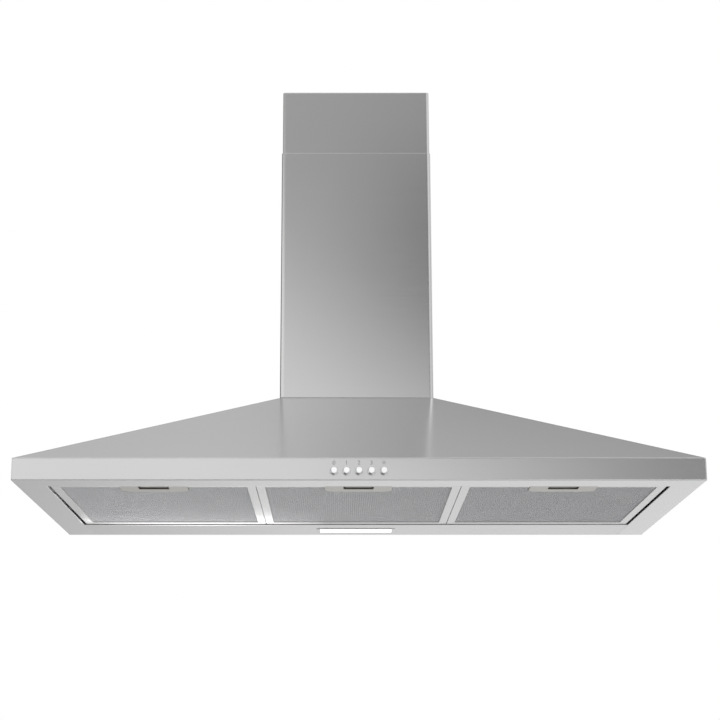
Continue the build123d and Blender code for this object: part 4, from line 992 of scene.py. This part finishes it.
    def back(self) -> bpy.types.NodeSocket:
        """Studio behind the hood.

        Returns:
            The light's strength in each direction.
        """
        low = self.math("MINIMUM", self.slope(self.BACK_LOW_SLOPE), self.BACK_LOW_MOST)
        level = self.mix(self.step(self.BACK_RISE), low, self.step(self.BACK_HIGH_LEVEL))
        level = self.math("MAXIMUM", level, self.BACK_LEAST)
        level = self.mix(self.step(*self.FLANK), level, self.FLANK_LEVEL)
        return self.mix(self.step(*self.LOW_FLANK), level, self.LOW_FLANK_LEVEL)

    def tone(self) -> bpy.types.NodeSocket:
        """Brightness of the whole studio seen from the hood.

        Returns:
            The light's strength in each direction.
        """
        level = self.mix(self.step(self.BEHIND), self.front(), self.back())
        level = self.mix(self.step(self.RIGHT), level, self.RIGHT_LEVEL)
        return self.mix(self.step(self.OVERHEAD), level, self.OVERHEAD_LEVEL)


@dataclass
class Studio:
    """Camera, floor, surroundings and lamps."""

    picture_width: float = 720.0
    focal_pixels: float = 1632.2
    sensor: float = 36.0
    camera_place: Point = (-0.0253, -2.5462, -0.3828)
    camera_rise: float = 13.41
    camera_shift: tuple[float, float] = (0.0285, 0.05)
    camera_reach: float = 60.0
    floor_level: float = -1.6
    floor_radius: float = 4.5
    floor_segments: int = 96
    floor_grey: float = 0.86
    floor_roughness: float = 0.8

    def build(self) -> None:
        """Set up the whole studio."""
        self.camera()
        self.floor()
        self.surroundings()
        self.lamps()

    def camera(self) -> None:
        """Camera below the hood's lower edge that looks slightly upward."""
        data = bpy.data.cameras.new("camera")
        data.sensor_width = self.sensor
        data.lens = self.focal_pixels / self.picture_width * self.sensor
        data.shift_x, data.shift_y = self.camera_shift
        data.clip_end = self.camera_reach
        holder = bpy.data.objects.new("camera", data)
        holder.location = self.camera_place
        holder.rotation_euler = (radians(90 + self.camera_rise), 0, 0)
        bpy.context.scene.collection.objects.link(holder)
        bpy.context.scene.camera = holder

    def floor_paint(self) -> bpy.types.Material:
        """Pale paint that is clear from below.

        Returns:
            The floor's material.
        """
        made = bpy.data.materials.new("floor_paint")
        made.use_nodes = True
        nodes = ShaderTree(made.node_tree)
        paint = made.node_tree.nodes["Principled BSDF"]
        grey = self.floor_grey
        paint.inputs["Base Color"].default_value = (grey, grey, grey, 1.0)
        paint.inputs["Roughness"].default_value = self.floor_roughness
        below = nodes.node("ShaderNodeNewGeometry")
        clear = nodes.node("ShaderNodeBsdfTransparent")
        mix = nodes.node("ShaderNodeMixShader")
        nodes.link(below.outputs["Backfacing"], mix.inputs[0])
        nodes.link(paint.outputs[0], mix.inputs[1])
        nodes.link(clear.outputs[0], mix.inputs[2])
        nodes.link(mix.outputs[0], made.node_tree.nodes["Material Output"].inputs["Surface"])
        return made

    def floor(self) -> None:
        """Pale round floor, open to a view from below."""
        mesh = bmesh.new()
        bmesh.ops.create_circle(
            mesh, cap_ends=True, segments=self.floor_segments, radius=self.floor_radius,
            matrix=Matrix.Translation((0, 0, self.floor_level)),
        )
        data = bpy.data.meshes.new("floor")
        mesh.to_mesh(data)
        mesh.free()
        data.materials.append(self.floor_paint())
        floor = bpy.data.objects.new("floor", data)
        bpy.context.scene.collection.objects.link(floor)

    def surroundings(self) -> None:
        """White backdrop for the camera and soft grey surroundings for the light."""
        world = bpy.data.worlds.new("studio")
        bpy.context.scene.world = world
        world.use_nodes = True
        tones = WorldTones(world.node_tree)
        seen = tones.node("ShaderNodeLightPath").outputs["Is Camera Ray"]
        sky = world.node_tree.nodes["Background"]
        sky.inputs["Color"].default_value = (1.0, 1.0, 1.0, 1.0)
        tones.link(tones.mix(seen, tones.tone(), 1.0), sky.inputs["Strength"])

    def lamps(self) -> None:
        """Place every lamp, none of them seen by the camera."""
        for lamp in LAMPS:
            data = bpy.data.lights.new(lamp.name, "AREA")
            data.shape = "ELLIPSE"
            data.size = lamp.width
            data.size_y = lamp.depth
            data.energy = lamp.power
            placed = bpy.data.objects.new(lamp.name, data)
            placed.location = lamp.spot
            aim = Vector(lamp.aimed_at) - Vector(lamp.spot)
            placed.rotation_euler = aim.to_track_quat("-Z", "Y").to_euler()
            placed.visible_camera = False
            placed.visible_glossy = lamp.mirrored
            bpy.context.scene.collection.objects.link(placed)


def main() -> None:
    """Build and dress the hood, then set up the studio."""
    logging.basicConfig(level=logging.INFO, format="%(name)s: %(message)s")
    bpy.context.scene.view_settings.view_transform = "Standard"
    Studio().build()
    workshop = Workshop()
    Hood(workshop).dress()
    for side in Side:
        grease_filter = GreaseFilter(workshop, side)
        grease_filter.dress()
        grease_filter.expanded_sheet()
    ButtonLabels(workshop).build()


if __name__ == "__main__":
    main()
